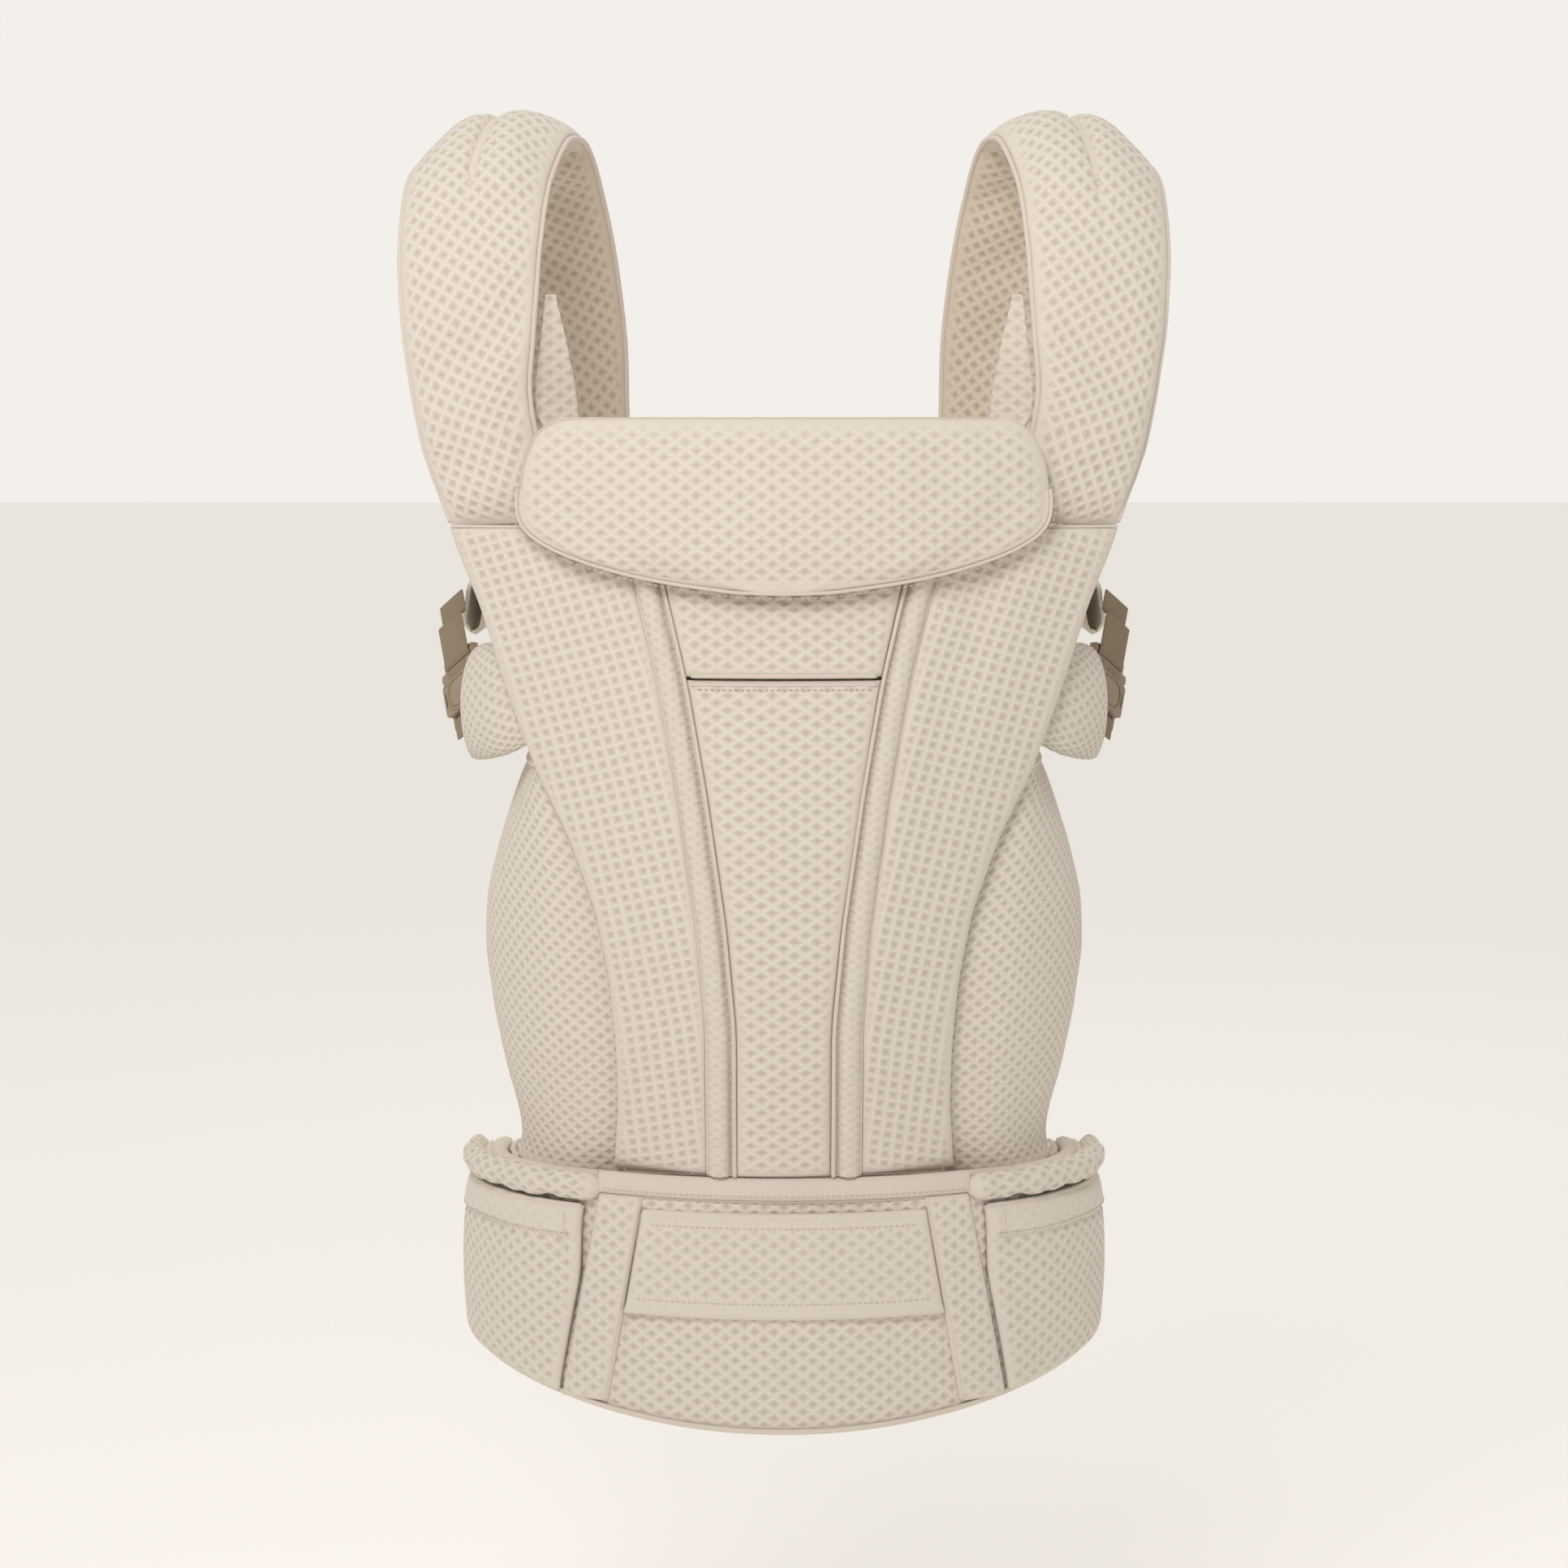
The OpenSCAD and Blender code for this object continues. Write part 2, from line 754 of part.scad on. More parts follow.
module chest_prong_upper() { chest_prong(-1); }
module chest_prong_lower() { chest_prong(1); }
module chest_tail() { color(webbing_colour) in_chest_frame() plug_tail(small_buckle, tail_reach); }

// ---------- waist belt ----------

belt_flare = 0.03;
belt_edge_rise = 28;
belt_side_rise = -4;
belt_sweep = 40;

// Lower and upper edge of the belt, by angle from the front centre
function belt_low(t) = belt_edge_rise * pow(sin(min(abs(t), 90)), 2);
function belt_high(t) = belt_height + belt_side_rise * pow(sin(min(abs(t), 90)), 2);

// A point of the belt: angle from the front centre, height and depth in from the cover's outside
function belt_point(t, z, d) =
  let (in = d - (belt_height - z) * belt_flare)
  [(belt_half_width - in) * sin(t), -(belt_half_depth - in) * cos(t), z];

// A belt layer between depths d0 and d1, swept out to the angle last on both sides
module belt_layer(last, d0, d1, inset) {
  skin([
    for (t = steps(-last, last, belt_sweep))
      let (low = belt_low(t) + inset, high = belt_high(t) - inset, mid = (low + high) / 2)
      [
        belt_point(t, low, d0), belt_point(t, low, d1), belt_point(t, mid, d1), belt_point(t, high, d1),
        belt_point(t, high, d0), belt_point(t, mid, d0)
      ]
  ]);
}

foam_front = skin_depth + gap;
foam_back = foam_front + belt_foam_thickness;
belt_lining_front = foam_back + gap;
belt_lining_back = belt_lining_front + skin_depth;

module belt_cover() { color(fabric) belt_layer(belt_end_angle, 0, skin_depth, 0); }
module belt_foam() { color(foam_colour) belt_layer(belt_end_angle - 2, foam_front, foam_back, foam_inset); }
module belt_lining() {
  color(fabric_light) belt_layer(belt_end_angle, belt_lining_front, belt_lining_back, 0);
}

trim_front = -gap - skin_depth;
binding_low = belt_height - 12;
binding_angle = 36;

// A trim on the belt's face from height z0 to z1, its two edges at angles given by height
module belt_trim(z0, z1, rows, left_edge, right_edge, n) {
  skin([
    for (z = steps(z0, z1, rows))
      concat(
        [for (t = steps(left_edge(z), right_edge(z), n)) belt_point(t, z, trim_front)],
        [for (t = steps(right_edge(z), left_edge(z), n)) belt_point(t, z, -gap)]
      )
  ]);
}

module belt_binding() {
  left = function(z) -binding_angle;
  right = function(z) binding_angle;
  color(fabric_light) belt_trim(binding_low, belt_height, 1, left, right, 16);
}

// Inner and outer edges of the upright strips, as angles by height
function strip_inner(z) = lookup(z, [[0, 34], [140, 25.5]]);
function strip_outer(z) = lookup(z, [[0, 44.5], [140, 34.5]]);
edge_gap = 0.3;
strip_low = 13;

module belt_strips() {
  inner = function(z) strip_inner(z);
  outer = function(z) strip_outer(z);
  color(fabric)
    for (side = [-1, 1])
      on_side(side) belt_trim(strip_low, binding_low - gap, 5, inner, outer, 3);
}

band_low = 63;
band_high = 121;

module belt_band() {
  left = function(z) -strip_inner(z) + edge_gap;
  right = function(z) strip_inner(z) - edge_gap;
  color(fabric_light) belt_trim(band_low, band_high, 3, left, right, 12);
}

pouch_top = 120;
pouch_end = 97;
pouch_back = -webbing_thickness - 1.4;
pouch_mouth = pouch_back - 3;
pouch_hem = pouch_back - 1.5;
pouch_rows = 14;
// How far the pouch stands out at its middle and low down, the height of its middle and its lower curve
pouch_swell = 3.5;
pouch_low_swell = 2.5;
pouch_middle = 78;
pouch_curve = 22;
pouch_start = strip_outer(60) + 1.8;

// One side pouch, on the right
module belt_pouch() {
  color(fabric) skin([
    for (t = steps(pouch_start, pouch_end, pouch_rows))
      let (low = belt_low(t) + 2, full = sin(90 * min(1, (t - 36) / 22)))
      [
        belt_point(t, low, pouch_back),
        belt_point(t, pouch_top, pouch_back),
        belt_point(t, pouch_top, pouch_mouth),
        belt_point(t, pouch_middle, pouch_mouth - pouch_swell * full),
        belt_point(t, low + pouch_curve, pouch_mouth - pouch_low_swell * full),
        belt_point(t, low, pouch_hem)
      ]
  ]);
}

module belt_pouch_left() { on_side(-1) belt_pouch(); }
module belt_pouch_right() { on_side(1) belt_pouch(); }

roll_points = 10;
roll_start = 37.5;
roll_middle_z = 131;
roll_half_height = 8.5;
roll_half_depth = 3.6;

// The padded upper edges of the belt's sides
module belt_rolls() {
  color(fabric)
    for (side = [-1, 1])
      on_side(side) skin([
        for (t = steps(roll_start, pouch_end, 12))
          let (swell = 0.45 + 0.55 * sin(180 * (t - roll_start + 8) / (pouch_end - roll_start + 16)))
          [
            for (i = [0:roll_points - 1])
              let (a = 360 * i / roll_points)
              belt_point(
                t, roll_middle_z + roll_half_height * swell * sin(a),
                -gap - roll_half_depth * (1 + cos(a)) * swell
              )
          ]
      ]);
}

webbing_low = 80;
webbing_high = webbing_low + hip_webbing_width;
webbing_first = 39.5;

// Hip webbing on the right, from under the pouch round to angle last
module hip_webbing(last) {
  skin([
    for (t = steps(webbing_first, last, 24))
      [
        belt_point(t, webbing_low, -gap - webbing_thickness), belt_point(t, webbing_low, -gap),
        belt_point(t, webbing_high, -gap), belt_point(t, webbing_high, -gap - webbing_thickness)
      ]
  ]);
}

waist_z = webbing_low + hip_webbing_width / 2;
waist_y = belt_half_depth - 0.4;
waist_start = -29;
waist_travel = 28;
waist_end = waist_start + large_buckle[3] + running_gap + large_buckle[4];
waist_loop = 24;
left_webbing_x = 42;
right_webbing_x = waist_end + waist_travel + travel_spare;

// Children drawn in the waist buckle's frame, along +X and facing +Y
module in_waist_frame() {
  translate([waist_start, waist_y, waist_z])
    rotate([-90, 0, 0])
      children();
}

// Angle at which the belt's ellipse reaches a given x at its back
function back_angle(x) = 180 - asin(x / belt_half_width);

module hip_webbing_left() {
  color(webbing_colour) {
    on_side(-1) hip_webbing(back_angle(left_webbing_x));
    in_waist_frame() socket_loop(large_buckle, waist_loop);
  }
}
module hip_webbing_right() { color(webbing_colour) hip_webbing(back_angle(right_webbing_x)); }

module waist_socket() { color(buckle_colour) in_waist_frame() buckle_socket(large_buckle); }
module waist_plug() { color(buckle_colour) in_waist_frame() buckle_plug(large_buckle); }

// A waist prong: edge 1 is the lower one and -1 the upper one
module waist_prong(edge) {
  color(buckle_colour)
    in_waist_frame()
      mirror([0, edge < 0 ? 1 : 0, 0])
        buckle_prong(large_buckle);
}

module waist_prong_upper() { waist_prong(-1); }
module waist_prong_lower() { waist_prong(1); }
module waist_tail() { color(webbing_colour) in_waist_frame() plug_tail(large_buckle, waist_travel + 10); }

centre_panel();
pocket_welt();
pocket_bag();
panel_left();
panel_right();
tube_left();
tube_right();
side_panel_left();
side_panel_right();
body_lining();
top_hem();
head_cover();
head_foam();
head_lining();
head_piping();
strap_cover_left();
strap_cover_right();
strap_foam_left();
strap_foam_right();
strap_lining_left();
strap_lining_right();
strap_gussets();
side_wing_left();
side_wing_right();
side_webbing_left();
side_webbing_right();
side_socket_left();
side_socket_right();
side_plug_left();
side_plug_right();
side_prong_front_left();
side_prong_front_right();
side_prong_back_left();
side_prong_back_right();
side_tail_left();
side_tail_right();
chest_rails();
chest_webbing();
chest_sliders();
chest_socket();
chest_plug();
chest_prong_upper();
chest_prong_lower();
chest_tail();
belt_cover();
belt_foam();
belt_lining();
belt_binding();
belt_band();
belt_strips();
belt_pouch_left();
belt_pouch_right();
belt_rolls();
hip_webbing_left();
hip_webbing_right();
waist_socket();
waist_plug();
waist_prong_upper();
waist_prong_lower();
waist_tail();
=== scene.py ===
import json
import math

import bpy
import numpy as np
from mathutils import Vector
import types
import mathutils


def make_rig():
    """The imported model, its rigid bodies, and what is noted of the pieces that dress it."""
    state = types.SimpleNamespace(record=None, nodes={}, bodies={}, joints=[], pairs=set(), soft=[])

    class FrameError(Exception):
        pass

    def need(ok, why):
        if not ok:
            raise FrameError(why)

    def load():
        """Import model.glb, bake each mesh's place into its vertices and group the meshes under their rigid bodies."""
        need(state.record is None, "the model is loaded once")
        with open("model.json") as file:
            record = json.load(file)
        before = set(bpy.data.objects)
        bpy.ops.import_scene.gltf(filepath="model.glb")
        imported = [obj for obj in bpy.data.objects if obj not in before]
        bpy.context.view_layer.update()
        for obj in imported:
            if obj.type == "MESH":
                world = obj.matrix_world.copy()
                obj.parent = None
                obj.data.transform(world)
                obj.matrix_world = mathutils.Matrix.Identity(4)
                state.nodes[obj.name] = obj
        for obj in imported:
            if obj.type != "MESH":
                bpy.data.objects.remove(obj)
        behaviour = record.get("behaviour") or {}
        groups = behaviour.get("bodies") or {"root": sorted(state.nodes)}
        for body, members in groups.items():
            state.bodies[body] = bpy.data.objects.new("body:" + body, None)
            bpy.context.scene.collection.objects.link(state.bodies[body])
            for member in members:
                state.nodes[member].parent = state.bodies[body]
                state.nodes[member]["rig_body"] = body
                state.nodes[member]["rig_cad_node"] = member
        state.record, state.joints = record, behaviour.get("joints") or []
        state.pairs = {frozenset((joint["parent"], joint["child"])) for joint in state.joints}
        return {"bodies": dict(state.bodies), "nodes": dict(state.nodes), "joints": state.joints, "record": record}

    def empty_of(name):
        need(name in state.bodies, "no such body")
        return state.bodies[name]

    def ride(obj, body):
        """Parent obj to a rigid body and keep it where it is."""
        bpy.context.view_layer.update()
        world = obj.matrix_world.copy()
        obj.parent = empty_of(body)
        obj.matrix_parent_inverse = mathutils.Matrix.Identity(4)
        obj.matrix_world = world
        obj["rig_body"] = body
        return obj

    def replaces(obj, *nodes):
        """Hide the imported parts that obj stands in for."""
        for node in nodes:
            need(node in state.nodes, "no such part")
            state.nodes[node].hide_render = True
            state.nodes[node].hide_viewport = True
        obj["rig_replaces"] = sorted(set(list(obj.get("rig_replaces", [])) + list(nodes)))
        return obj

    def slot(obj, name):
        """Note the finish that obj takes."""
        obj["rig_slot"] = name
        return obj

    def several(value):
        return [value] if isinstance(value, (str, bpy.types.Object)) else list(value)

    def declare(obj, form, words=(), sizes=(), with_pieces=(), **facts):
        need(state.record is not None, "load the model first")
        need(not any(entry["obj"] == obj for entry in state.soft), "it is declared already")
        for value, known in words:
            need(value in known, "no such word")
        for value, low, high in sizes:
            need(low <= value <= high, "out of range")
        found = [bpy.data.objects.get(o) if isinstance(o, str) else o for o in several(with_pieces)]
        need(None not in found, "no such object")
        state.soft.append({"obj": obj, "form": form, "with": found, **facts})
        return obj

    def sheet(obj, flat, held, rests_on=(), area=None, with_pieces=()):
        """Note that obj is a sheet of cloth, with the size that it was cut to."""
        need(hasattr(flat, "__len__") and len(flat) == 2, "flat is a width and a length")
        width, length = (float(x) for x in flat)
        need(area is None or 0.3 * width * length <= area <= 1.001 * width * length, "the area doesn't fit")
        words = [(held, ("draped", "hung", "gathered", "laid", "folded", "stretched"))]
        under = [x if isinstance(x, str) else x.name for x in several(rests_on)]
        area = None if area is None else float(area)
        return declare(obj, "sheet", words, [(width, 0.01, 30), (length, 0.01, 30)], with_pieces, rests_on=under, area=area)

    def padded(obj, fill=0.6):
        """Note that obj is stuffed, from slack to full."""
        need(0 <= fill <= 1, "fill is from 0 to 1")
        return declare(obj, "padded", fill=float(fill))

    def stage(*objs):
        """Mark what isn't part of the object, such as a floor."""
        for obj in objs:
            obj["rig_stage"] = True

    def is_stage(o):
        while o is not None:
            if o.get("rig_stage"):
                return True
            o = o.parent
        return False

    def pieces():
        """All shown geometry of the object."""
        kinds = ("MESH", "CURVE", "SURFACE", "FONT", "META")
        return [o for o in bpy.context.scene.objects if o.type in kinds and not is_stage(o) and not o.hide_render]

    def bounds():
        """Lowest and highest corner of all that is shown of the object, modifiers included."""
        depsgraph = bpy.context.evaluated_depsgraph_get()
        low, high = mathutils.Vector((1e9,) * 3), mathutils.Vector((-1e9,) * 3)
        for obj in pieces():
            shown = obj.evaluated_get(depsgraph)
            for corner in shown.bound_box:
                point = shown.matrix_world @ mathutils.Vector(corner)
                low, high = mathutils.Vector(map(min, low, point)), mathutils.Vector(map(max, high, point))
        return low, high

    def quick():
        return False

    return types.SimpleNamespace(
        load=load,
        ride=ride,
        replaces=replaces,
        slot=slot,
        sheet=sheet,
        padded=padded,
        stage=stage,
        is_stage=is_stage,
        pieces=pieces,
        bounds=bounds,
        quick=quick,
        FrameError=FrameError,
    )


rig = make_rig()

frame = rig.load()
cad_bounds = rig.bounds()
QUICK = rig.quick()
MM = 0.001

# ---------- curves and numbers; lengths are in millimetres until a mesh is made ----------


def table(*rows, blur=7):
    """A smooth function through rows of (position, value), carried on in a straight line past its ends."""
    x, y = np.array(rows, float).T
    fine = np.arange(x[0] - 90, x[-1] + 91)
    first, last = (y[1] - y[0]) / (x[1] - x[0]), (y[-1] - y[-2]) / (x[-1] - x[-2])
    v = np.interp(fine, x, y)
    v = np.where(fine < x[0], y[0] + (fine - x[0]) * first, v)
    v = np.where(fine > x[-1], y[-1] + (fine - x[-1]) * last, v)
    k = np.exp(-0.5 * (np.arange(-3 * blur, 3 * blur + 1) / blur) ** 2)
    v = np.convolve(np.pad(v, 3 * blur, mode="reflect", reflect_type="odd"), k / k.sum(), mode="valid")
    return lambda z: np.interp(z, fine, v)


def along(points, s):
    """Points on the smooth curve through the control points, at shares s of its length in points."""
    p = np.atleast_2d(np.array(points, float).T).T
    s = np.atleast_1d(np.asarray(s, float))
    n = len(p) - 1
    f = np.clip(s, 0, 1) * n
    i = np.minimum(np.floor(f).astype(int), n - 1)
    t = (f - i)[:, None]
    a, b, c, d = p[np.maximum(i - 1, 0)], p[i], p[np.minimum(i + 1, n)], p[np.minimum(i + 2, n)]
    out = 2 * b + (c - a) * t + (2 * a - 5 * b + 4 * c - d) * t**2 + (3 * b - a - 3 * c + d) * t**3
    return out / 2


def unit(v):
    return v / np.maximum(np.linalg.norm(v, axis=-1, keepdims=True), 1e-9)


def step(x, a, b):
    """0 before a and 1 after b, with a smooth turn between."""
    t = np.clip((np.asarray(x, float) - a) / (b - a), 0, 1)
    return t * t * (3 - 2 * t)


def bell(x, middle, width):
    return np.exp(-(((np.asarray(x, float) - middle) / width) ** 2))


def lengths(p):
    """Distance along a line of points from its first one."""
    return np.concatenate([[0], np.cumsum(np.linalg.norm(np.diff(p, axis=0), axis=1))])


def full_turn(count):
    """Angles spread evenly round a circle, without the last one that would repeat the first."""
    return np.linspace(0, 2 * np.pi, count, endpoint=False)


def rounded_box(a, power):
    """A circle's x and y at the angles a, pushed out towards a box as power falls below 1."""
    return np.sign(np.cos(a)) * np.abs(np.cos(a)) ** power, np.sign(np.sin(a)) * np.abs(np.sin(a)) ** power


front_line = table(
    (140, 118), (170, 130), (210, 141), (267, 147), (330, 144), (400, 134), (460, 125), (510, 119), (560, 116)
)
crown_radius = table((140, 150), (270, 165), (350, 200), (450, 360), (500, 500), (560, 600))
centre_edge = table((140, 26), (225, 26), (280, 31), (349, 41), (411, 52), (457, 63), (560, 86))
panel_edge = table(
    (140, 93), (177, 90), (212, 90.5), (250, 94), (285, 101), (323, 115), (358, 133), (401, 149), (448, 164),
    (478, 176), (491, 180), blur=5,
)
side_reach = table(
    (132, 154), (140, 148), (150, 147), (165, 149), (190, 156), (220, 163), (252, 166.5), (285, 165),
    (315, 159), (340, 151), (362, 142), blur=5,
)


def body_y(x, z):
    return -front_line(z) + x * x / (2 * crown_radius(z))


# ---------- meshes ----------

WAFFLE_PITCH = 6.6
WAFFLE_DEPTH = 0.42


def waffle(grain):
    """0 on the waffle's ridges and 1 in the middle of its cells; grain is counted in cells."""
    u, v = (np.abs(grain[..., k] - np.floor(grain[..., k]) - 0.5) * 2 for k in (0, 1))
    return 1 - step(np.maximum(u, v), 0.1, 0.85)


def diamond(u, v, wide=10.5, tall=8.0):
    """Cell coordinates of a weave whose cells stand on their corners, wide across and tall up."""
    return np.stack([u / wide + v / tall, u / wide - v / tall], -1)


def place_mesh(name, mesh, material=None):
    """An object that shows a mesh, put in the scene."""
    obj = bpy.data.objects.new(name, mesh)
    bpy.context.scene.collection.objects.link(obj)
    if material is not None:
        mesh.materials.append(material)
    return obj


def make(name, points, faces, material):
    """A smooth-shaded object from points in millimetres."""
    mesh = bpy.data.meshes.new(name)
    mesh.from_pydata((np.asarray(points).reshape(-1, 3) * MM).tolist(), [], faces)
    mesh.update()
    mesh.polygons.foreach_set("use_smooth", [True] * len(mesh.polygons))
    return place_mesh(name, mesh, material)


def get_floats(items, key):
    """A vector of three numbers of each of a mesh's items, as an array of rows."""
    values = np.zeros(len(items) * 3, np.float32)
    items.foreach_get(key, values)
    return values.reshape(-1, 3)


def ring_faces(m, n):
    """Quads of m rings of n points, closed round each ring and open at both ends."""
    j, i = np.meshgrid(np.arange(m - 1), np.arange(n), indexing="ij")
    a, b = (j * n + i).ravel(), (j * n + (i + 1) % n).ravel()
    return np.stack([a, b, b + n, a + n], 1).tolist()


def cap_faces(ring, start, last):
    """Triangles that close a ring of points, worked inwards from its first and last point together."""
    i, j, faces = 0, len(ring) - 1, []
    while j - i > 1:
        near_i, near_j = ring[i + 1] - ring[j], ring[i] - ring[j - 1]
        go_i = near_i @ near_i <= near_j @ near_j
        third = i + 1 if go_i else j - 1
        corners = [start + i, start + third, start + j]
        faces.append(corners if last else corners[::-1])
        i, j = (third, j) if go_i else (i, third)
    return faces


def closed_faces(rings):
    """The faces of a closed solid through rings of points."""
    m, n = rings.shape[:2]
    return ring_faces(m, n) + cap_faces(rings[0], 0, False) + cap_faces(rings[-1], (m - 1) * n, True)


def loft(name, rings, material, grain=None, fade=None, depth=WAFFLE_DEPTH):
    """A closed solid through rings of points; grain and fade carry the weave, which dents its surface."""
    rings = np.asarray(rings, float)
    m, n = rings.shape[:2]
    points = rings.reshape(-1, 3)
    faces = closed_faces(rings)
    a, b, c = (points[[f[k] for f in faces]] for k in (0, 1, 2))
    quads = [f for f in faces if len(f) == 4]
    volume = (a * np.cross(b, c)).sum()
    volume += sum(np.dot(points[f[0]], np.cross(points[f[2]], points[f[3]])) for f in quads)
    if volume < 0:
        faces = [f[::-1] for f in faces]
    obj = make(name, points, faces, material)
    weave(obj, grain, fade, depth, m * n)
    return obj


def weave(obj, grain, fade, depth, count):
    """Stores the weave's coordinates and strength on the vertices, and dents the surface by them."""
    mesh = obj.data
    total = len(mesh.vertices)
    g = np.zeros((total, 3), np.float32)
    f = np.zeros(total, np.float32)
    if grain is not None:
        g[:count, :2] = np.asarray(grain).reshape(-1, 2)
        f[:count] = 1 if fade is None else np.asarray(fade).reshape(-1)
        dent = waffle(g[:, :2].astype(float)) * f * depth * MM
        co = get_floats(mesh.vertices, "co") - get_floats(mesh.vertex_normals, "vector") * dent[:, None]
        mesh.vertices.foreach_set("co", co.astype(np.float32).ravel())
    mesh.attributes.new("grain", "FLOAT_VECTOR", "POINT").data.foreach_set("vector", g.ravel())
    mesh.attributes.new("fade", "FLOAT", "POINT").data.foreach_set("value", f)
    mesh.update()


def cord(name, path, radius, material, sides=8, squash=1.0, away=(0, -1, 0)):
    """A round cord along a line of points; away is roughly the direction that it stands out."""
    p = np.asarray(path, float)
    t = unit(np.gradient(p, axis=0))
    w = unit(np.cross(t, np.broadcast_to(np.asarray(away, float), p.shape)))
    n = np.cross(w, t)
    a = full_turn(sides)[None, :, None]
    rings = p[:, None] + radius * (np.cos(a) * w[:, None] + squash * np.sin(a) * n[:, None])
    g = np.stack(np.broadcast_arrays(lengths(p)[:, None], np.arange(sides)[None] * 2.0), -1)
    return loft(name, rings, material, g, np.zeros(g.shape[:2]), 0)


def stitches(name, path, away, material, pitch=3.2, long=2.1, radius=0.34):
    """A row of separate thread stitches lying along a line of points on a surface, each with sunk ends."""
    p = np.asarray(path, float)
    away = unit(np.broadcast_to(np.asarray(away, float), p.shape))
    s = lengths(p)
    verts, faces = [], []
    sides, rows = 5, 4
    a = full_turn(sides)[None, :, None]
    swell = np.sin(np.linspace(0, np.pi, rows))
    for start in np.arange(pitch / 2, s[-1] - pitch, pitch):
        at = start + np.linspace(0, long, rows)
        q = np.stack([np.interp(at, s, p[:, k]) for k in range(3)], 1)
        up = unit(np.stack([np.interp(at, s, away[:, k]) for k in range(3)], 1))
        t = unit(q[-1:] - q[:1])
        w = unit(np.cross(t, up))
        lift = swell[:, None] * radius * 0.9 - radius * 0.5
        thin = (0.55 + 0.45 * swell)[:, None, None] * radius
        rings = (q + up * lift)[:, None] + thin * (np.cos(a) * w[:, None] + np.sin(a) * up[:, None])
        base = len(verts)
        verts += rings.reshape(-1, 3).tolist()
        for f in ring_faces(rows, sides):
            faces.append([base + k for k in f])
        faces.append([base + k for k in range(sides)][::-1])
        faces.append([base + (rows - 1) * sides + k for k in range(sides)])
    obj = make(name, np.array(verts), faces, material)
    weave(obj, None, None, 0, 0)
    return obj


def join(name, objs):
    """Several objects made into one, under a new name."""
    with bpy.context.temp_override(
        active_object=objs[0], object=objs[0], selected_objects=objs, selected_editable_objects=objs
    ):
        bpy.ops.object.join()
    objs[0].name = objs[0].data.name = name
    return objs[0]


def mirrored(obj, name):
    """A copy of obj on the other side of the middle plane."""
    mesh = obj.data.copy()
    mesh.vertices.foreach_set("co", (get_floats(mesh.vertices, "co") * [-1, 1, 1]).astype(np.float32).ravel())
    mesh.flip_normals()
    mesh.name = name
    return place_mesh(name, mesh)


# ---------- cloth simulation ----------

SIM_FRAMES, SIM_SHRINK = 20, -0.02


def resample(field, m, n):
    """A field of coarse ring values spread smoothly over m rings of n points."""
    a, b = field.shape[:2]
    rows = np.linspace(0, a - 1, m)
    out = np.stack([np.interp(rows, np.arange(a), field[:, i, k]) for i in range(b) for k in range(3)], -1)
    out = out.reshape(m, b, 3)
    wrap = np.concatenate([out, out[:, :1]], 1)
    cols = np.arange(n) * b / n
    wrapped = np.stack([[np.interp(cols, np.arange(b + 1), row[:, k]) for k in range(3)] for row in wrap])
    return wrapped.transpose(0, 2, 1)


def seam_ends(j, width):
    """Holds the first and the last row of a cover."""
    return bell(j, 0, width) + bell(j, 1, width)


def smooth_rings(field, passes):
    for _ in range(passes):
        inner = (np.roll(field, 1, 1) + np.roll(field, -1, 1)) / 2
        rows = np.concatenate([field[:1], (field[:-2] + field[2:]) / 2, field[-1:]])
        field = field * 0.5 + inner * 0.25 + rows * 0.25
    return field


def inflate(rings, every_row, every_col, pinned, pressure, cap):
    """Cloth simulation of a padded cover: how far each ring point moves when it is filled under pressure.

    It runs on a coarse copy that keeps one row in every_row and one column in every_col. pinned(row, column)
    is the share by which a coarse point is held, as by a seam, and cap is the furthest that one may move.
    """
    rings = np.asarray(rings, float)
    m, n = rings.shape[:2]
    if QUICK:
        return np.zeros_like(rings)
    coarse = rings[np.unique(np.append(np.arange(0, m, every_row), m - 1))][:, ::every_col]
    a, b = coarse.shape[:2]
    obj = make("cloth_simulation", coarse, closed_faces(coarse), None)
    hold = obj.vertex_groups.new(name="seams")
    j, i = np.meshgrid(np.arange(a) / (a - 1), np.arange(b) / b, indexing="ij")
    share = np.clip(pinned(j, i), 0, 1).ravel()
    for k, w in enumerate(share):
        if w > 0.01:
            hold.add([k], float(w), "REPLACE")
    cloth = obj.modifiers.new("cloth", "CLOTH")
    s = cloth.settings
    s.quality = 6
    s.mass = 0.25
    s.tension_stiffness = s.compression_stiffness = 25
    s.shear_stiffness = 12
    s.bending_stiffness = 0.8
    s.use_pressure = True
    s.uniform_pressure_force = pressure
    s.shrink_min = SIM_SHRINK
    s.vertex_group_mass = "seams"
    s.effector_weights.gravity = 0
    cloth.collision_settings.use_collision = False
    cloth.point_cache.frame_start, cloth.point_cache.frame_end = 1, SIM_FRAMES
    scene = bpy.context.scene
    for f in range(1, SIM_FRAMES + 1):
        scene.frame_set(f)
    done = obj.evaluated_get(bpy.context.evaluated_depsgraph_get())
    co = np.array([v.co for v in done.data.vertices], float)[: a * b] / MM
    scene.frame_set(1)
    bpy.data.objects.remove(obj, do_unlink=True)
    move = co.reshape(a, b, 3) - coarse
    size = np.linalg.norm(move, axis=-1, keepdims=True)
    move *= np.minimum(1, cap / np.maximum(size, 1e-6))
    return smooth_rings(resample(move, m, n), 12)


# ---------- materials ----------


def colour(text):
    """A linear colour from a written sRGB one."""
    c = [int(text[i : i + 2], 16) / 255 for i in (0, 2, 4)]
    lin = [x / 12.92 if x <= 0.04045 else ((x + 0.055) / 1.055) ** 2.4 for x in c]
    return (*lin, 1.0)


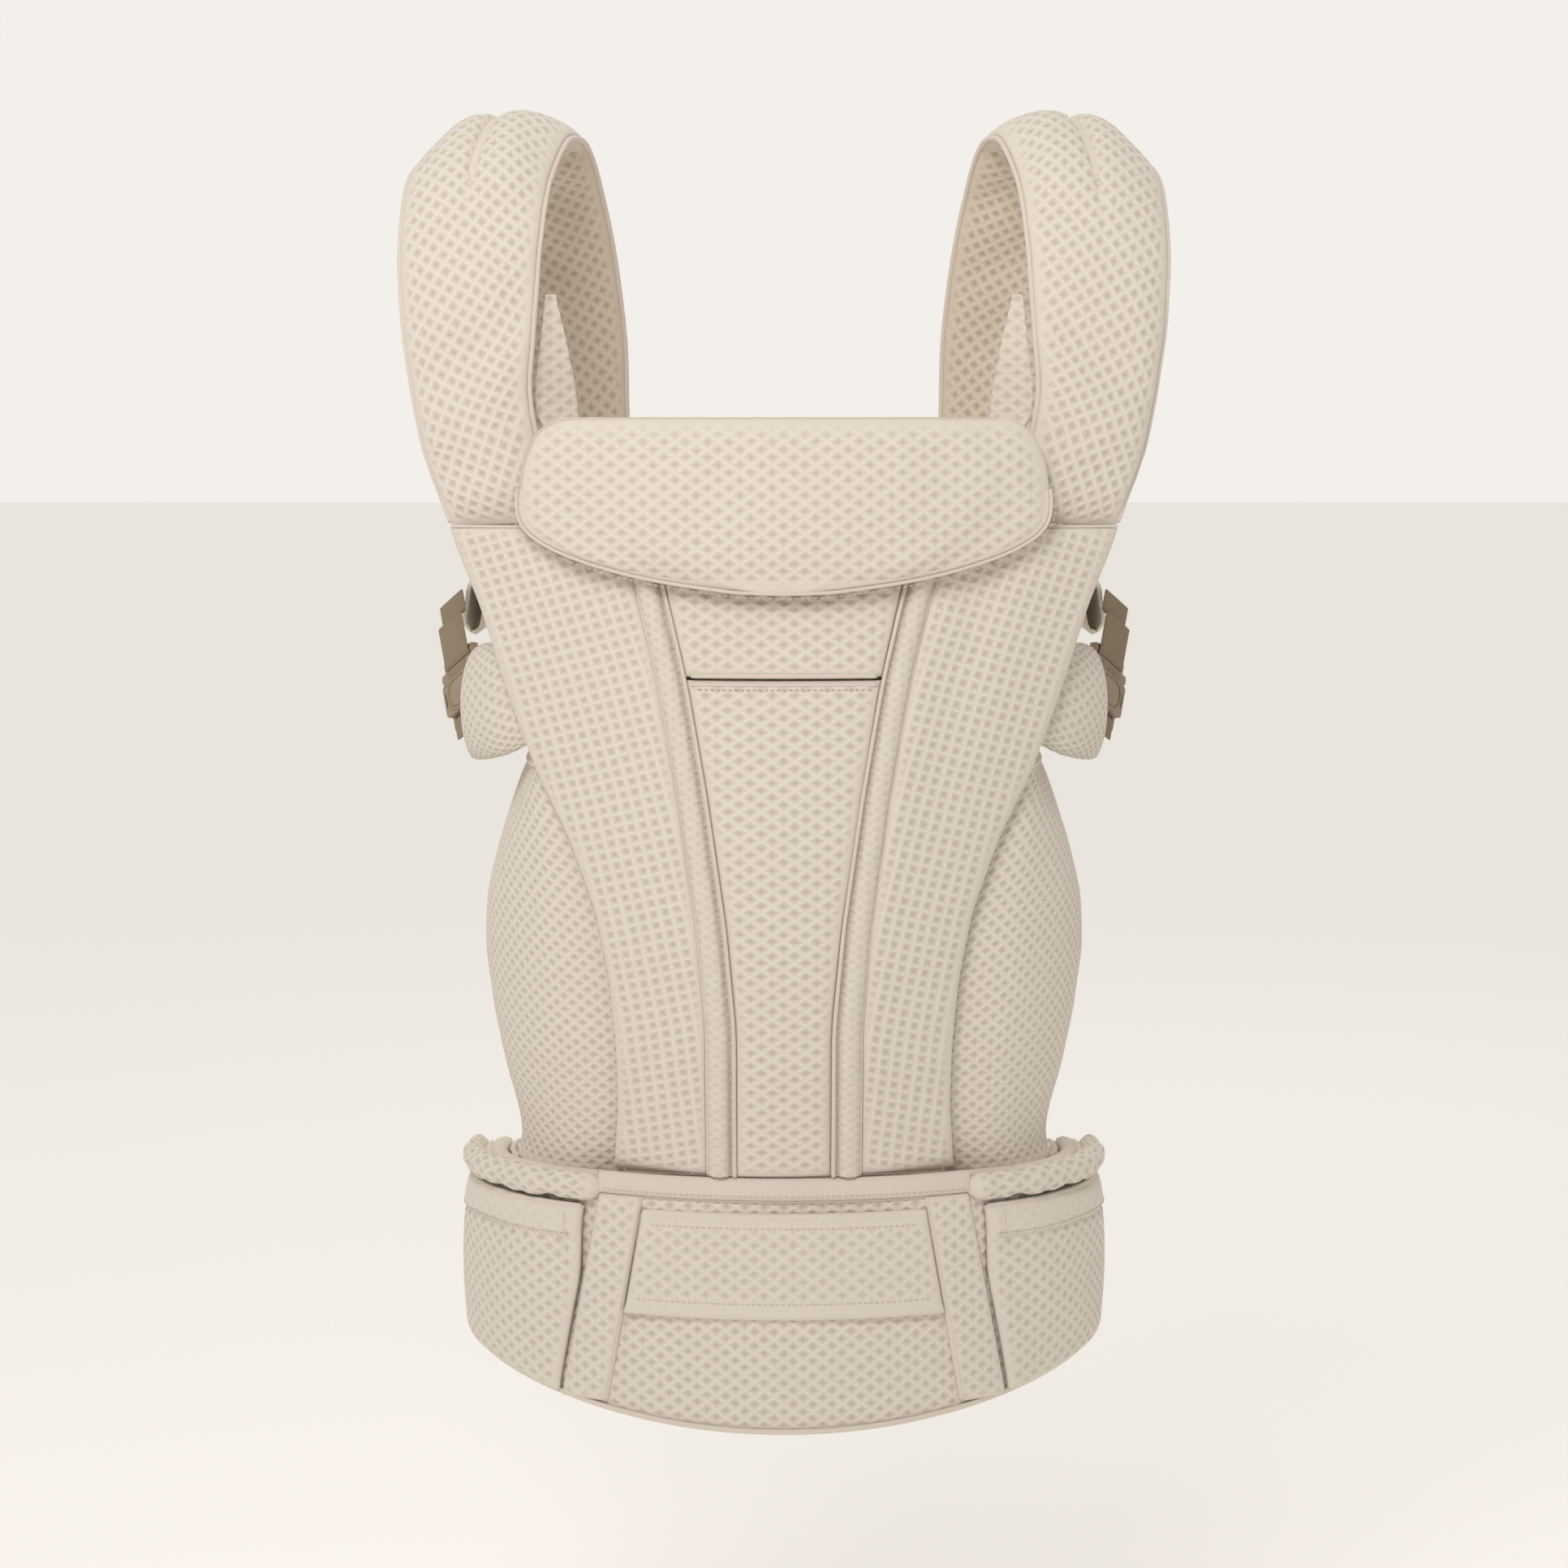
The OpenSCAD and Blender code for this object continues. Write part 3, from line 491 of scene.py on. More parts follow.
class Graph:
    """Short ways to build a material's nodes."""

    def __init__(self, name):
        self.material = bpy.data.materials.new(name)
        self.material.use_nodes = True
        self.tree = self.material.node_tree
        self.shader = self.tree.nodes["Principled BSDF"]

    def node(self, kind, **values):
        made = self.tree.nodes.new(kind)
        for key, value in values.items():
            setattr(made, key, value)
        return made

    def wire(self, value, socket):
        if isinstance(value, bpy.types.NodeSocket):
            self.tree.links.new(value, socket)
        else:
            socket.default_value = value

    def maths(self, kind, *values):
        made = self.node("ShaderNodeMath", operation=kind)
        for value, socket in zip(values, made.inputs):
            self.wire(value, socket)
        return made.outputs[0]

    def plus(self, a, b):
        return self.maths("ADD", a, b)

    def minus(self, a, b):
        return self.maths("SUBTRACT", a, b)

    def times(self, a, b):
        return self.maths("MULTIPLY", a, b)

    def ramp(self, value, stops):
        made = self.node("ShaderNodeValToRGB")
        self.wire(value, made.inputs[0])
        bar = made.color_ramp.elements
        while len(bar) < len(stops):
            bar.new(0.5)
        for element, (at, shade) in zip(bar, stops):
            element.position, element.color = at, shade
        return made.outputs[0]

    def mix(self, share, a, b):
        made = self.node("ShaderNodeMix", data_type="RGBA")
        self.wire(share, made.inputs[0])
        self.wire(a, made.inputs[6])
        self.wire(b, made.inputs[7])
        return made.outputs[2]

    def smooth(self, value, low, high):
        made = self.node("ShaderNodeMapRange", interpolation_type="SMOOTHSTEP")
        self.wire(value, made.inputs["Value"])
        made.inputs["From Min"].default_value = low
        made.inputs["From Max"].default_value = high
        return made.outputs["Result"]

    def place(self):
        return self.node("ShaderNodeTexCoord").outputs["Object"]

    def noise(self, scale, detail=3.0):
        made = self.node("ShaderNodeTexNoise")
        self.wire(self.place(), made.inputs["Vector"])
        made.inputs["Scale"].default_value = scale
        made.inputs["Detail"].default_value = detail
        return made.outputs["Fac"]

    def bands(self, direction, scale, distortion=0.0):
        made = self.node("ShaderNodeTexWave", wave_type="BANDS", bands_direction=direction)
        self.wire(self.place(), made.inputs["Vector"])
        made.inputs["Scale"].default_value = scale
        made.inputs["Distortion"].default_value = distortion
        return made.outputs["Fac"]

    def grain(self):
        """The weave's coordinates and strength that the mesh carries."""
        vector = self.node("ShaderNodeAttribute", attribute_name="grain").outputs["Vector"]
        split = self.node("ShaderNodeSeparateXYZ")
        self.wire(vector, split.inputs[0])
        fade = self.node("ShaderNodeAttribute", attribute_name="fade").outputs["Fac"]
        return split.outputs[0], split.outputs[1], fade

    def bump(self, height, distance):
        made = self.node("ShaderNodeBump")
        made.inputs["Strength"].default_value = 1.0
        made.inputs["Distance"].default_value = distance
        self.wire(height, made.inputs["Height"])
        return made.outputs["Normal"]

    def finish(self, base, normal, roughness, sheen=0.0, coat=0.0):
        self.wire(base, self.shader.inputs["Base Color"])
        self.wire(normal, self.shader.inputs["Normal"])
        self.wire(roughness, self.shader.inputs["Roughness"])
        self.shader.inputs["Sheen Weight"].default_value = sheen
        self.shader.inputs["Sheen Roughness"].default_value = 0.5
        self.shader.inputs["Coat Weight"].default_value = coat
        self.shader.inputs["Specular IOR Level"].default_value = 0.25
        return self.material


def from_middle(g, value):
    """0 in the middle of each cell and 1 on the ridges on either side."""
    return g.times(g.maths("ABSOLUTE", g.minus(g.maths("FRACT", value), 0.5)), 2.0)


def waffle_fabric(name, ridge, middle, painted_recess_shade):
    """Waffle mesh: thin raised ridges round sunk cells, with fine yarns over all of it; its colour paints shade into
    the sunk cells.
    """
    g = Graph(name)
    u, v, fade = g.grain()
    wander = g.times(g.minus(g.noise(160.0, 1.0), 0.5), 0.22)
    cell_u = from_middle(g, g.plus(u, wander))
    cell_v = from_middle(g, g.minus(v, wander))
    high = g.maths("SMOOTH_MAX", cell_u, cell_v, 0.2)
    plain_level, yarns_per_cell = 0.72, 11.0
    level = g.plus(plain_level, g.times(fade, g.minus(high, plain_level)))
    yarns = [g.maths("SINE", g.times(at, 2 * math.pi * yarns_per_cell)) for at in (u, v)]
    yarn = g.times(g.plus(*yarns), 0.25)
    # painted shade: the colour runs from the lit ridges down to the painted recess shade in the middle of each cell,
    # and the yarn pattern is mixed towards that shade too
    shades = [(0.0, painted_recess_shade), (0.35, middle), (0.85, ridge), (1.0, ridge)]
    base = g.ramp(level, [(at, colour(shade)) for at, shade in shades])
    base = g.mix(g.times(g.plus(yarn, 0.5), 0.16), base, colour(painted_recess_shade))
    base = g.mix(g.times(g.minus(g.noise(14.0), 0.35), 0.22), base, colour(middle))
    fuzz = g.noise(900.0, 2.0)
    height = g.plus(g.plus(g.smooth(level, 0.1, 0.9), g.times(yarn, 0.1)), g.times(fuzz, 0.1))
    return g.finish(base, g.bump(height, 0.0007), 0.92, sheen=0.18)


def plain_fabric(name, light, dark):
    """Smooth woven trim: fine crossing yarns, soft fuzz and a little unevenness."""
    g = Graph(name)
    across, up, slanted = (g.bands(axis, 304.0, 1.2) for axis in ("X", "Z", "DIAGONAL"))
    yarns = g.plus(g.times(across, up), g.times(slanted, 0.35))
    base = g.mix(g.times(g.minus(1.0, yarns), 0.35), colour(light), colour(dark))
    base = g.mix(g.times(g.minus(g.noise(22.0, 4.0), 0.3), 0.35), base, colour(dark))
    height = g.plus(g.times(yarns, 0.5), g.times(g.noise(1200.0, 2.0), 0.35))
    return g.finish(base, g.bump(height, 0.0003), 0.9, sheen=0.2)


def webbing_fabric(name, light, dark):
    """Woven webbing with fine ribs; its grain is the distance along and across it in millimetres."""
    g = Graph(name)
    u, v, _ = g.grain()
    rib, yarn = 1.6, 1.1
    ribs = g.maths("SINE", g.times(u, 2 * math.pi / rib))
    yarns = g.maths("SINE", g.times(v, 2 * math.pi / yarn))
    height = g.plus(g.times(ribs, 0.5), g.times(yarns, 0.3))
    base = g.mix(g.times(g.minus(0.8, height), 0.45), colour(light), colour(dark))
    base = g.mix(g.times(g.noise(40.0), 0.3), base, colour(dark))
    height = g.plus(height, g.times(g.noise(1500.0, 2.0), 0.3))
    return g.finish(base, g.bump(height, 0.00025), 0.85, sheen=0.1)


def plastic(name, light, dark):
    """Moulded plastic with a fine spark-eroded grain and faint wear."""
    g = Graph(name)
    base = g.mix(g.times(g.noise(60.0), 0.55), colour(light), colour(dark))
    scuffed = g.plus(0.42, g.times(g.noise(420.0, 5.0), 0.22))
    return g.finish(base, g.bump(g.noise(2600.0), 0.00009), scuffed, coat=0.04)


def thread(name, light, dark):
    """Twisted sewing thread."""
    g = Graph(name)
    twist = g.bands("DIAGONAL", 700.0)
    base = g.mix(twist, colour(dark), colour(light))
    return g.finish(base, g.bump(twist, 0.0002), 0.7, sheen=0.15)


# painted shade: the third colour of each waffle is the shade painted into its sunk cells
WAFFLE = waffle_fabric("waffle_mesh", "E4DBCF", "D7CCBE", "BCAF9E")
# painted shade: the same waffle as above, painted darker for the linings and insides that lie in shade
WAFFLE_PAINTED_SHADE = waffle_fabric("waffle_mesh_inside", "DDD1C1", "CBBDAC", "AB9D8A")
TRIM = plain_fabric("smooth_trim", "E2D7CB", "CBBFB0")
# painted shade: a darker copy of the trim, drawn where a seam lies in a shaded crease
TRIM_CREASE_SHADE = plain_fabric("inner_trim", "D0C3B2", "AFA08C")
WEB = webbing_fabric("woven_webbing", "A5947C", "7A6852")
BUCKLE = plastic("buckle_plastic", "A59480", "85745F")
# painted shade: a dark plastic for thin pads that stand in for the shade inside the buckles' slots
PAINTED_SLOT_SHADE = plastic("buckle_recess", "5E4F3F", "483B2E")
THREAD = thread("sewing_thread", "E9DDCD", "C8B8A3")


# ---------- the body's panels ----------

QUAD = 1.6
PANEL_BOTTOM, PANEL_TOP = 141.0, 541.0
WELT_Z, WELT_HALF = 411.5, 49.0
STRAP_SEAM_Z, STRAP_INNER_X = 491.0, 114.0
TUBE_WIDTH = 15.0


def to_seam(distance, width):
    """0 at a seam and 1 away from it, round as stuffed cloth is."""
    t = np.clip(distance / width, 0, 1)
    return np.sqrt(np.clip(1 - (1 - t) ** 2, 0, 1))


PANEL_THICK, PANEL_HIDDEN_COLS = 3.6, 8


def panel(name, low, high, left, right, material, weave_of, crown, lift):
    """A padded panel on the body's front, between two heights and two edges given as functions of height."""
    rows = max(8, int((high - low) / QUAD))
    widest = max(right(z) - left(z) for z in np.linspace(low, high, 9))
    cols = max(12, int(widest / QUAD))
    z = np.linspace(low, high, rows)[:, None]
    share = np.linspace(0, 1, cols)[None]
    x0, x1 = left(z), right(z)
    x = x0 + (x1 - x0) * share
    zz = np.broadcast_to(z, x.shape)
    side = to_seam(np.minimum(x - x0, x1 - x), 9)
    edge = side * to_seam(zz - low, 9) * to_seam(high - zz, 9)
    out = crown * edge + lift(x, zz)
    front = np.stack([x, body_y(x, zz) - out, zz], -1)
    back_share = np.linspace(1, 0, PANEL_HIDDEN_COLS)[None]
    xb = x0 + (x1 - x0) * back_share
    zb = np.broadcast_to(z, xb.shape)
    back = np.stack([xb, body_y(xb, zb) + PANEL_THICK, zb], -1)
    rings = np.concatenate([front, back], 1)
    grain = weave_of(rings[..., 0], rings[..., 2])
    near = np.minimum(np.minimum(x - x0, x1 - x), np.minimum(zz - low, high - zz))
    fade = np.concatenate([step(near, 0.5, 6), np.zeros(xb.shape)], 1)
    return loft(name, rings, material, grain, fade)


def centre_left(z):
    return -(centre_edge(z) - 0.4)


def centre_right(z):
    return centre_edge(z) - 0.4


def soft_fall(x, z):
    """Long shallow hollows that cloth takes between its seams."""
    return 1.1 * np.sin(z / 46 + x / 70) + 0.7 * np.sin(x / 31 - z / 60)


def centre_weave(x, z):
    """The cells widen towards the top of the panel."""
    return diamond(x, z, 11.8, 7.6)


def centre_panel(name, low, high, crown):
    """The centre panel's cloth between two heights."""
    return panel(name, low, high, centre_left, centre_right, WAFFLE, centre_weave, crown, soft_fall)


lower_front = centre_panel("centre_fabric_lower", PANEL_BOTTOM, WELT_Z - 1.0, 3.4)
centre_panel("centre_fabric_upper", WELT_Z + 0.8, PANEL_TOP, 4.0)
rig.replaces(lower_front, "centre_panel")


def across(z, x0, x1, out, count=60):
    x = np.linspace(x0, x1, count)
    zz = z + 0 * x
    return np.stack([x, body_y(x, zz) - out, zz], 1)


# the pocket's slot: a folded lip above and below it, with a row of stitches
lips = [
    cord("pocket_lip_low", across(WELT_Z - 3.0, -WELT_HALF, WELT_HALF, 2.3), 1.2, TRIM, 10),
    cord("pocket_lip_high", across(WELT_Z + 1.4, -WELT_HALF, WELT_HALF, 2.0), 1.2, TRIM, 10),
]
welt = join("pocket_welt_lips", lips)
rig.replaces(welt, "pocket_welt")
FORWARD = (0, -1, 0)
stitches("pocket_stitches", across(WELT_Z - 5.4, -WELT_HALF + 2, WELT_HALF - 2, 4.0), FORWARD, THREAD)

BAG_DEEP = 95.0


def bag_layer(depth, share):
    """One of the pocket bag's two walls, at a depth behind the centre panel."""
    rows = np.linspace(WELT_Z - BAG_DEEP, WELT_Z, 48)[:, None]
    x = (centre_edge(rows) - 5) * share
    z = np.broadcast_to(rows, x.shape)
    return np.stack([x, body_y(x, z) + depth, z], -1)


def pocket_bag():
    share = np.linspace(-1, 1, 40)[None]
    rings = np.concatenate([bag_layer(4.4, share), bag_layer(6.2, share[:, ::-1])], 1)
    grain = centre_weave(rings[..., 0], rings[..., 2])
    return loft("pocket_bag_fabric", rings, WAFFLE_PAINTED_SHADE, grain, None, 0.3)


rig.replaces(pocket_bag(), "pocket_bag")


def both(build, name, *nodes_of):
    """Builds a piece on the right and mirrors it to the left; each stands for its own side's CAD nodes."""
    right = build(name + "_right")
    left = mirrored(right, name + "_left")
    if nodes_of:
        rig.replaces(left, *[n + "_left" for n in nodes_of])
        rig.replaces(right, *[n + "_right" for n in nodes_of])
    return left, right


def v_inner(z):
    return centre_edge(z) + TUBE_WIDTH + 0.4


def v_outer(z):
    return np.where(np.asarray(z) < STRAP_SEAM_Z - 1, panel_edge(z), STRAP_INNER_X)


def v_top_lift(x, z):
    """The panel rises softly towards the strap and falls in a long fold beside the tube."""
    fold = bell(x - v_inner(z), 26, 13) * step(z, 250, 420)
    return soft_fall(x, z) * 0.8 - 1.8 * fold + 1.6 * bell(x - v_inner(z), 48, 18) * step(z, 330, 470)


def v_weave(x, z):
    """The weave runs along the tube, and its cells close up into squares towards the belt."""
    return np.stack([(x - v_inner(z)) / 6.7 - z / 60, z / 5.9 + (x - v_inner(z)) / 22], -1)


def v_panel_low(name):
    return panel(name, PANEL_BOTTOM, STRAP_SEAM_Z, v_inner, v_outer, WAFFLE, v_weave, 3.6, v_top_lift)


def v_panel_high(name):
    def outer(z):
        return STRAP_INNER_X + 0 * z

    return panel(name, STRAP_SEAM_Z + 0.2, PANEL_TOP, v_inner, outer, WAFFLE, v_weave, 2.6, soft_fall)


both(v_panel_low, "v_fabric", "panel")
both(v_panel_high, "v_fabric_top")


def tube(name):
    """The padded tube between the centre panel and the V-shaped panel."""
    z = np.linspace(PANEL_BOTTOM, PANEL_TOP, 300)[:, None]
    share = np.linspace(-1, 1, 22)[None]
    half = TUBE_WIDTH / 2 - 0.1
    pucker = 1 + 0.05 * np.sin(z / 2.6 + 2.4 * share) + 0.045 * np.sin(z / 6.1 - 1.7 * share)
    round_part = np.sqrt(np.clip(1 - ((share - 0.24) / 0.77) ** 2, 0, 1))
    out = (0.9 * to_seam(1 + share, 0.3) + 5.6 * pucker * round_part) + 0 * z
    x = centre_edge(z) + TUBE_WIDTH / 2 + half * share
    zz = np.broadcast_to(z, x.shape)
    front = np.stack([x, body_y(x, zz) - out + 0.4, zz], -1)
    back = np.stack([x, body_y(x, zz) + 4.5, zz], -1)[:, ::-1][:, ::4]
    rings = np.concatenate([front, back], 1)
    grain = np.stack([rings[..., 2] / 5.2 + rings[..., 0] / 9, rings[..., 2] / 5.2 - rings[..., 0] / 9], -1)
    fade = np.concatenate([0.45 * np.ones(x.shape), np.zeros(back.shape[:2])], 1)
    return loft(name, rings, WAFFLE, grain, fade, 0.35)


def beside_centre(off, out):
    """A line up the front, off outwards from the centre panel's edge and out in front of the body."""
    z = np.linspace(PANEL_BOTTOM, PANEL_TOP, 240)
    x = centre_edge(z) + off
    return np.stack([x, body_y(x, z) - out, z], 1)


def tube_seam(name):
    """The cords along the tube's two long seams."""
    inner = cord(name, beside_centre(0.6, 1.9), 1.15, TRIM)
    outer = cord(name + "_far", beside_centre(TUBE_WIDTH + 0.2, 0.6), 0.8, TRIM)
    return join(name, [inner, outer])


def tube_row(name):
    return stitches(name, beside_centre(2.9, 1.0), FORWARD, THREAD)


both(tube, "tube_cover", "tube")
both(tube_seam, "tube_seam")
both(tube_row, "tube_stitches")

# ---------- the side panels that wrap back round the seat ----------

SIDE_LOW, SIDE_HIGH, SIDE_MIDDLE_Y, SIDE_WRAP = 134.0, 362.0, -22.0, 118.0


def side_frame(z, a, depth):
    """Where the side panel lies at height z and angle a round the seat, depth in from its outline."""
    x0 = panel_edge(z) - 6
    y0 = body_y(panel_edge(z), z) + 4.4
    rx, ry = side_reach(z) - x0 - depth, SIDE_MIDDLE_Y - y0 - depth
    return x0 + rx * np.sin(a), SIDE_MIDDLE_Y - ry * np.cos(a)


def side_panel(name):
    z = np.linspace(SIDE_LOW, SIDE_HIGH, 136)[:, None]
    a = np.radians(np.linspace(0, SIDE_WRAP, 108))[None]
    deg = np.degrees(a)
    ripple = 1.1 * np.sin(z / 17 + deg / 21) * bell(deg, 62, 34) + 1.5 * bell(z, 238, 42) * bell(deg, 55, 30)
    end = to_seam(np.minimum(z - SIDE_LOW, SIDE_HIGH - z), 12)
    x, y = side_frame(z, a, 1.8 - (ripple + 2.2 * end) * step(deg, 8, 30))
    zz = np.broadcast_to(z, x.shape)
    front = np.stack([x, y, zz], -1)
    ab = np.radians(np.linspace(SIDE_WRAP, 0, 16))[None]
    xb, yb = side_frame(z, ab, 4.4)
    back = np.stack([xb, yb, np.broadcast_to(z, xb.shape)], -1)
    rings = np.concatenate([front, back], 1)
    width = np.linalg.norm(np.diff(front, axis=1), axis=2)
    u = np.concatenate([np.zeros((len(z), 1)), np.cumsum(width, 1)], 1)
    u = np.concatenate([u, np.zeros(xb.shape)], 1)
    grain = diamond(u, rings[..., 2], 9.4, 7.2)
    near = np.minimum(np.minimum(zz - SIDE_LOW, SIDE_HIGH - zz), 200)
    fade = np.concatenate([step(near, 1, 7), np.zeros(xb.shape)], 1)
    return loft(name, rings, WAFFLE, grain, fade)


both(side_panel, "side_fabric", "side_panel")


def side_edge(name):
    """The narrow bound edge along the top of the side panel."""
    a = np.radians(np.linspace(14, SIDE_WRAP, 70))
    z = SIDE_HIGH - 0.5 + 0 * a
    x, y = side_frame(z, a, 0.6)
    return cord(name, np.stack([x, y, z], 1), 1.9, TRIM, 10, away=(0.6, -0.6, 0.4))


both(side_edge, "side_edge")

# the seat lining behind the panels, and the hem that carries the head support
LINING_BACK, LINING_COLS = 10.2, 96


def lining_rings():
    z = np.linspace(PANEL_BOTTOM + 1, PANEL_TOP, 150)[:, None]
    half = np.minimum(panel_edge(z), STRAP_INNER_X) - 8
    x = half * np.linspace(-1, 1, LINING_COLS)[None]
    xf = half * np.linspace(1, -1, 12)[None]
    zz, zf = np.broadcast_to(z, x.shape), np.broadcast_to(z, xf.shape)
    back = np.stack([x, body_y(x, zz) + LINING_BACK, zz], -1)
    front = np.stack([xf, body_y(xf, zf) + LINING_BACK - 3, zf], -1)
    return np.concatenate([back, front], 1)


def seat_lining():
    rings = lining_rings()
    fade = np.zeros(rings.shape[:2])
    fade[:, :LINING_COLS] = 1
    return loft("seat_lining", rings, WAFFLE_PAINTED_SHADE, diamond(rings[..., 0], rings[..., 2]), fade, 0.4)


UP = (0, 0, 1)
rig.replaces(seat_lining(), "body_lining")
hem_line = across(PANEL_TOP + 3, -STRAP_INNER_X, STRAP_INNER_X, -3.4, 120)
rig.replaces(cord("top_hem_fabric", hem_line, 3.3, TRIM, 16, 0.9, UP), "top_hem")


# ---------- the head support ----------

FOLD_Z, HEAD_DROP, HEAD_GAP, HEAD_MIDDLE = 549.0, 92.0, 6.5, 4.0
HEAD_ROWS, HEAD_COLS = 66, 176
head_reach = table(
    (0, 118), (4, 127), (10, 133), (25, 139), (45, 142), (56, 140.5), (63, 134), (70, 122), (76, 106),
    (82, 85), (87, 60), (91, 28), blur=2,
)


def head_grid(side):
    """The front (side 1) or the back (side 0) of the head support."""
    s = HEAD_DROP * (1 - (1 - np.linspace(0, 1, HEAD_ROWS)) ** 1.35)[:, None]
    u = np.linspace(-1, 1, HEAD_COLS)[None]
    x = np.maximum(head_reach(s), 8) * u
    z = FOLD_Z - s + 0 * x
    v = np.clip((z - (FOLD_Z - HEAD_DROP)) / HEAD_DROP, 0, 1)
    edge = np.sqrt(np.clip(1 - np.abs(u) ** 5, 0, 1)) * to_seam(s, 13) * to_seam(HEAD_DROP + 3 - s, 22)
    crown = 5.5 + 8.5 * (1 - u**2) * (1 - (2 * v - 1) ** 2) + 0.8 * np.sin(x / 37 + z / 29)
    out = HEAD_MIDDLE + crown * edge if side else HEAD_MIDDLE - 3.6 * edge
    y = body_y(x, z) - HEAD_GAP - out
    return np.stack([x, y, z], -1)


SIM_SHARE = 0.6


def head_seams(j, i):
    """The head support is sewn all round: along its top and bottom rows and down its two sides."""
    return np.maximum(bell(j, 0, 0.05), bell(j, 1, 0.05)) + bell(np.abs(i % 0.5 - 0.25), 0.25, 0.02)


def head_shape():
    """The whole head support, filled out by the simulation but kept clear of the panels behind it."""
    rings = np.concatenate([head_grid(1), head_grid(0)[:, ::-1]], 1)
    rings = rings + smooth_rings(inflate(rings, 3, 8, head_seams, 3.0, 5), 40) * SIM_SHARE
    limit = body_y(rings[..., 0], rings[..., 2]) - HEAD_GAP + 1.5
    rings[..., 1] = np.minimum(rings[..., 1], limit)
    return rings


head_full = head_shape()


def head_side(name, material, own, hidden):
    """One side of the head support: its own face's rings, closed by a sparse hidden face behind them."""
    x, z = head_full[..., 0], head_full[..., 2]
    near = np.minimum(head_reach(FOLD_Z - z) - np.abs(x), z - FOLD_Z + HEAD_DROP)
    fade = step(near, 1.5, 9) * 0.9 * step(FOLD_Z - z, 1, 12)
    fade = np.concatenate([fade[:, own], np.zeros(hidden.shape[:2])], 1)
    rings = np.concatenate([head_full[:, own], hidden], 1)
    grain = diamond(rings[..., 0], rings[..., 2], 11.4, 8.0)
    return loft(name, rings, material, grain, fade)


front_cols, back_cols, sparse = slice(0, HEAD_COLS), slice(HEAD_COLS, None), slice(None, None, 8)
behind_front = head_full[:, back_cols][:, sparse] + np.array([0, -1.2, 0])
before_back = head_full[:, front_cols][:, sparse].copy()
before_back[..., 1] = head_full[:, back_cols, 1][:, ::-1][:, sparse] - 2.4
head_front = head_side("head_support_fabric", WAFFLE, front_cols, behind_front)
head_back = head_side("head_support_lining", WAFFLE_PAINTED_SHADE, back_cols, before_back)
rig.replaces(head_front, "head_cover", "head_foam")
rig.replaces(head_back, "head_lining")


def head_outline(off, out):
    """Points along the lower edge of the head support, off outside it and out in front of its middle."""
    s = np.concatenate([np.linspace(38.0, 70, 75), np.linspace(70, 91.3, 150)[1:]])
    x = head_reach(s)
    right = np.stack([x, FOLD_Z - s], 1)
    line = np.concatenate([right, [[0, FOLD_Z - HEAD_DROP - 0.2]], right[::-1] * [-1, 1]])
    d = lengths(line)
    even = np.linspace(0, d[-1], 300)
    line = np.stack([np.interp(even, d, line[:, k]) for k in (0, 1)], 1)
    for _ in range(14):
        line[1:-1] = (line[:-2] + 2 * line[1:-1] + line[2:]) / 4
    t = unit(np.gradient(line, axis=0))
    line = line + off * np.stack([-t[:, 1], t[:, 0]], 1) * -1
    x, z = line.T
    return np.stack([x, body_y(x, z) - HEAD_GAP - HEAD_MIDDLE - out, z], 1)


piping = [
    cord("piping", head_outline(2.2, 0.3), 2.5, TRIM, 12),
    cord("piping_fold", head_outline(-0.4, 3.0), 0.9, TRIM, 8),
]
head_piping = join("head_piping_cord", piping)
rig.replaces(head_piping, "head_piping")
head_stitches = stitches("head_stitches", head_outline(-2.6, 5.4), FORWARD, THREAD, 3.4, 2.3)
for piece in (head_front, head_back, head_piping, head_stitches):
    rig.ride(piece, "head_support")
    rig.slot(piece, "waffle_fabric" if piece is head_front else "trim_fabric")
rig.padded(head_front, fill=0.7)

# ---------- the shoulder straps ----------

STRAP_PATH = [
    [149, -89, 492], [160, -86, 525], [167.5, -81, 560], [169.5, -75, 602], [169.5, -64, 644], [166, -44, 684],
    [158, -12, 706], [149, 26, 698], [141, 58, 667], [134, 80, 622], [130, 92, 572], [131, 96, 525],
    [143, 90, 492], [163, 70, 464], [178, 47, 439],
]
STRAP_FACING = [
    [0.25, -0.97, 0], [0.22, -0.97, 0.05], [0.18, -0.97, 0.12], [0.1, -0.96, 0.2], [0.05, -0.9, 0.42],
    [0, -0.66, 0.75], [0, -0.1, 1], [0, 0.5, 0.86], [0.02, 0.84, 0.54], [0.05, 0.96, 0.25], [0.08, 0.99, 0.05],
    [0.15, 0.98, 0], [0.42, 0.9, 0], [0.8, 0.5, 0.1], [0.97, 0, 0.2],
]
STRAP_WIDTHS = [62, 62, 64, 72, 76, 78, 78, 77, 76, 76, 75, 73, 68, 59, 50]
STRAP_THICK = 17.0
SHOULDER, DART = 0.405, 0.04
SEAM_LEVEL, SEAM_SHARE = 6.0, 0.1
STRAP_ROWS = 400


def strap_frames(s):
    """The strap's middle line, the way across it, the way out of it and its width, by share of length."""
    c = along(STRAP_PATH, s)
    way = unit(along(STRAP_PATH, np.minimum(s + 0.01, 1)) - along(STRAP_PATH, np.maximum(s - 0.01, 0)))
    level = SEAM_LEVEL * np.maximum(0, 1 - s / SEAM_SHARE)
    t = unit(way + np.stack([0 * s, 0 * s, level], 1))
    w = unit(np.cross(t, unit(along(STRAP_FACING, s))))
    return c, w, np.cross(w, t), along(STRAP_WIDTHS, s)[:, 0]


strap_s = np.linspace(0, 1, STRAP_ROWS)
S_C, S_W, S_N, S_WIDTH = strap_frames(strap_s)
S_LENGTH = lengths(S_C)
STRAP_COLS = 56


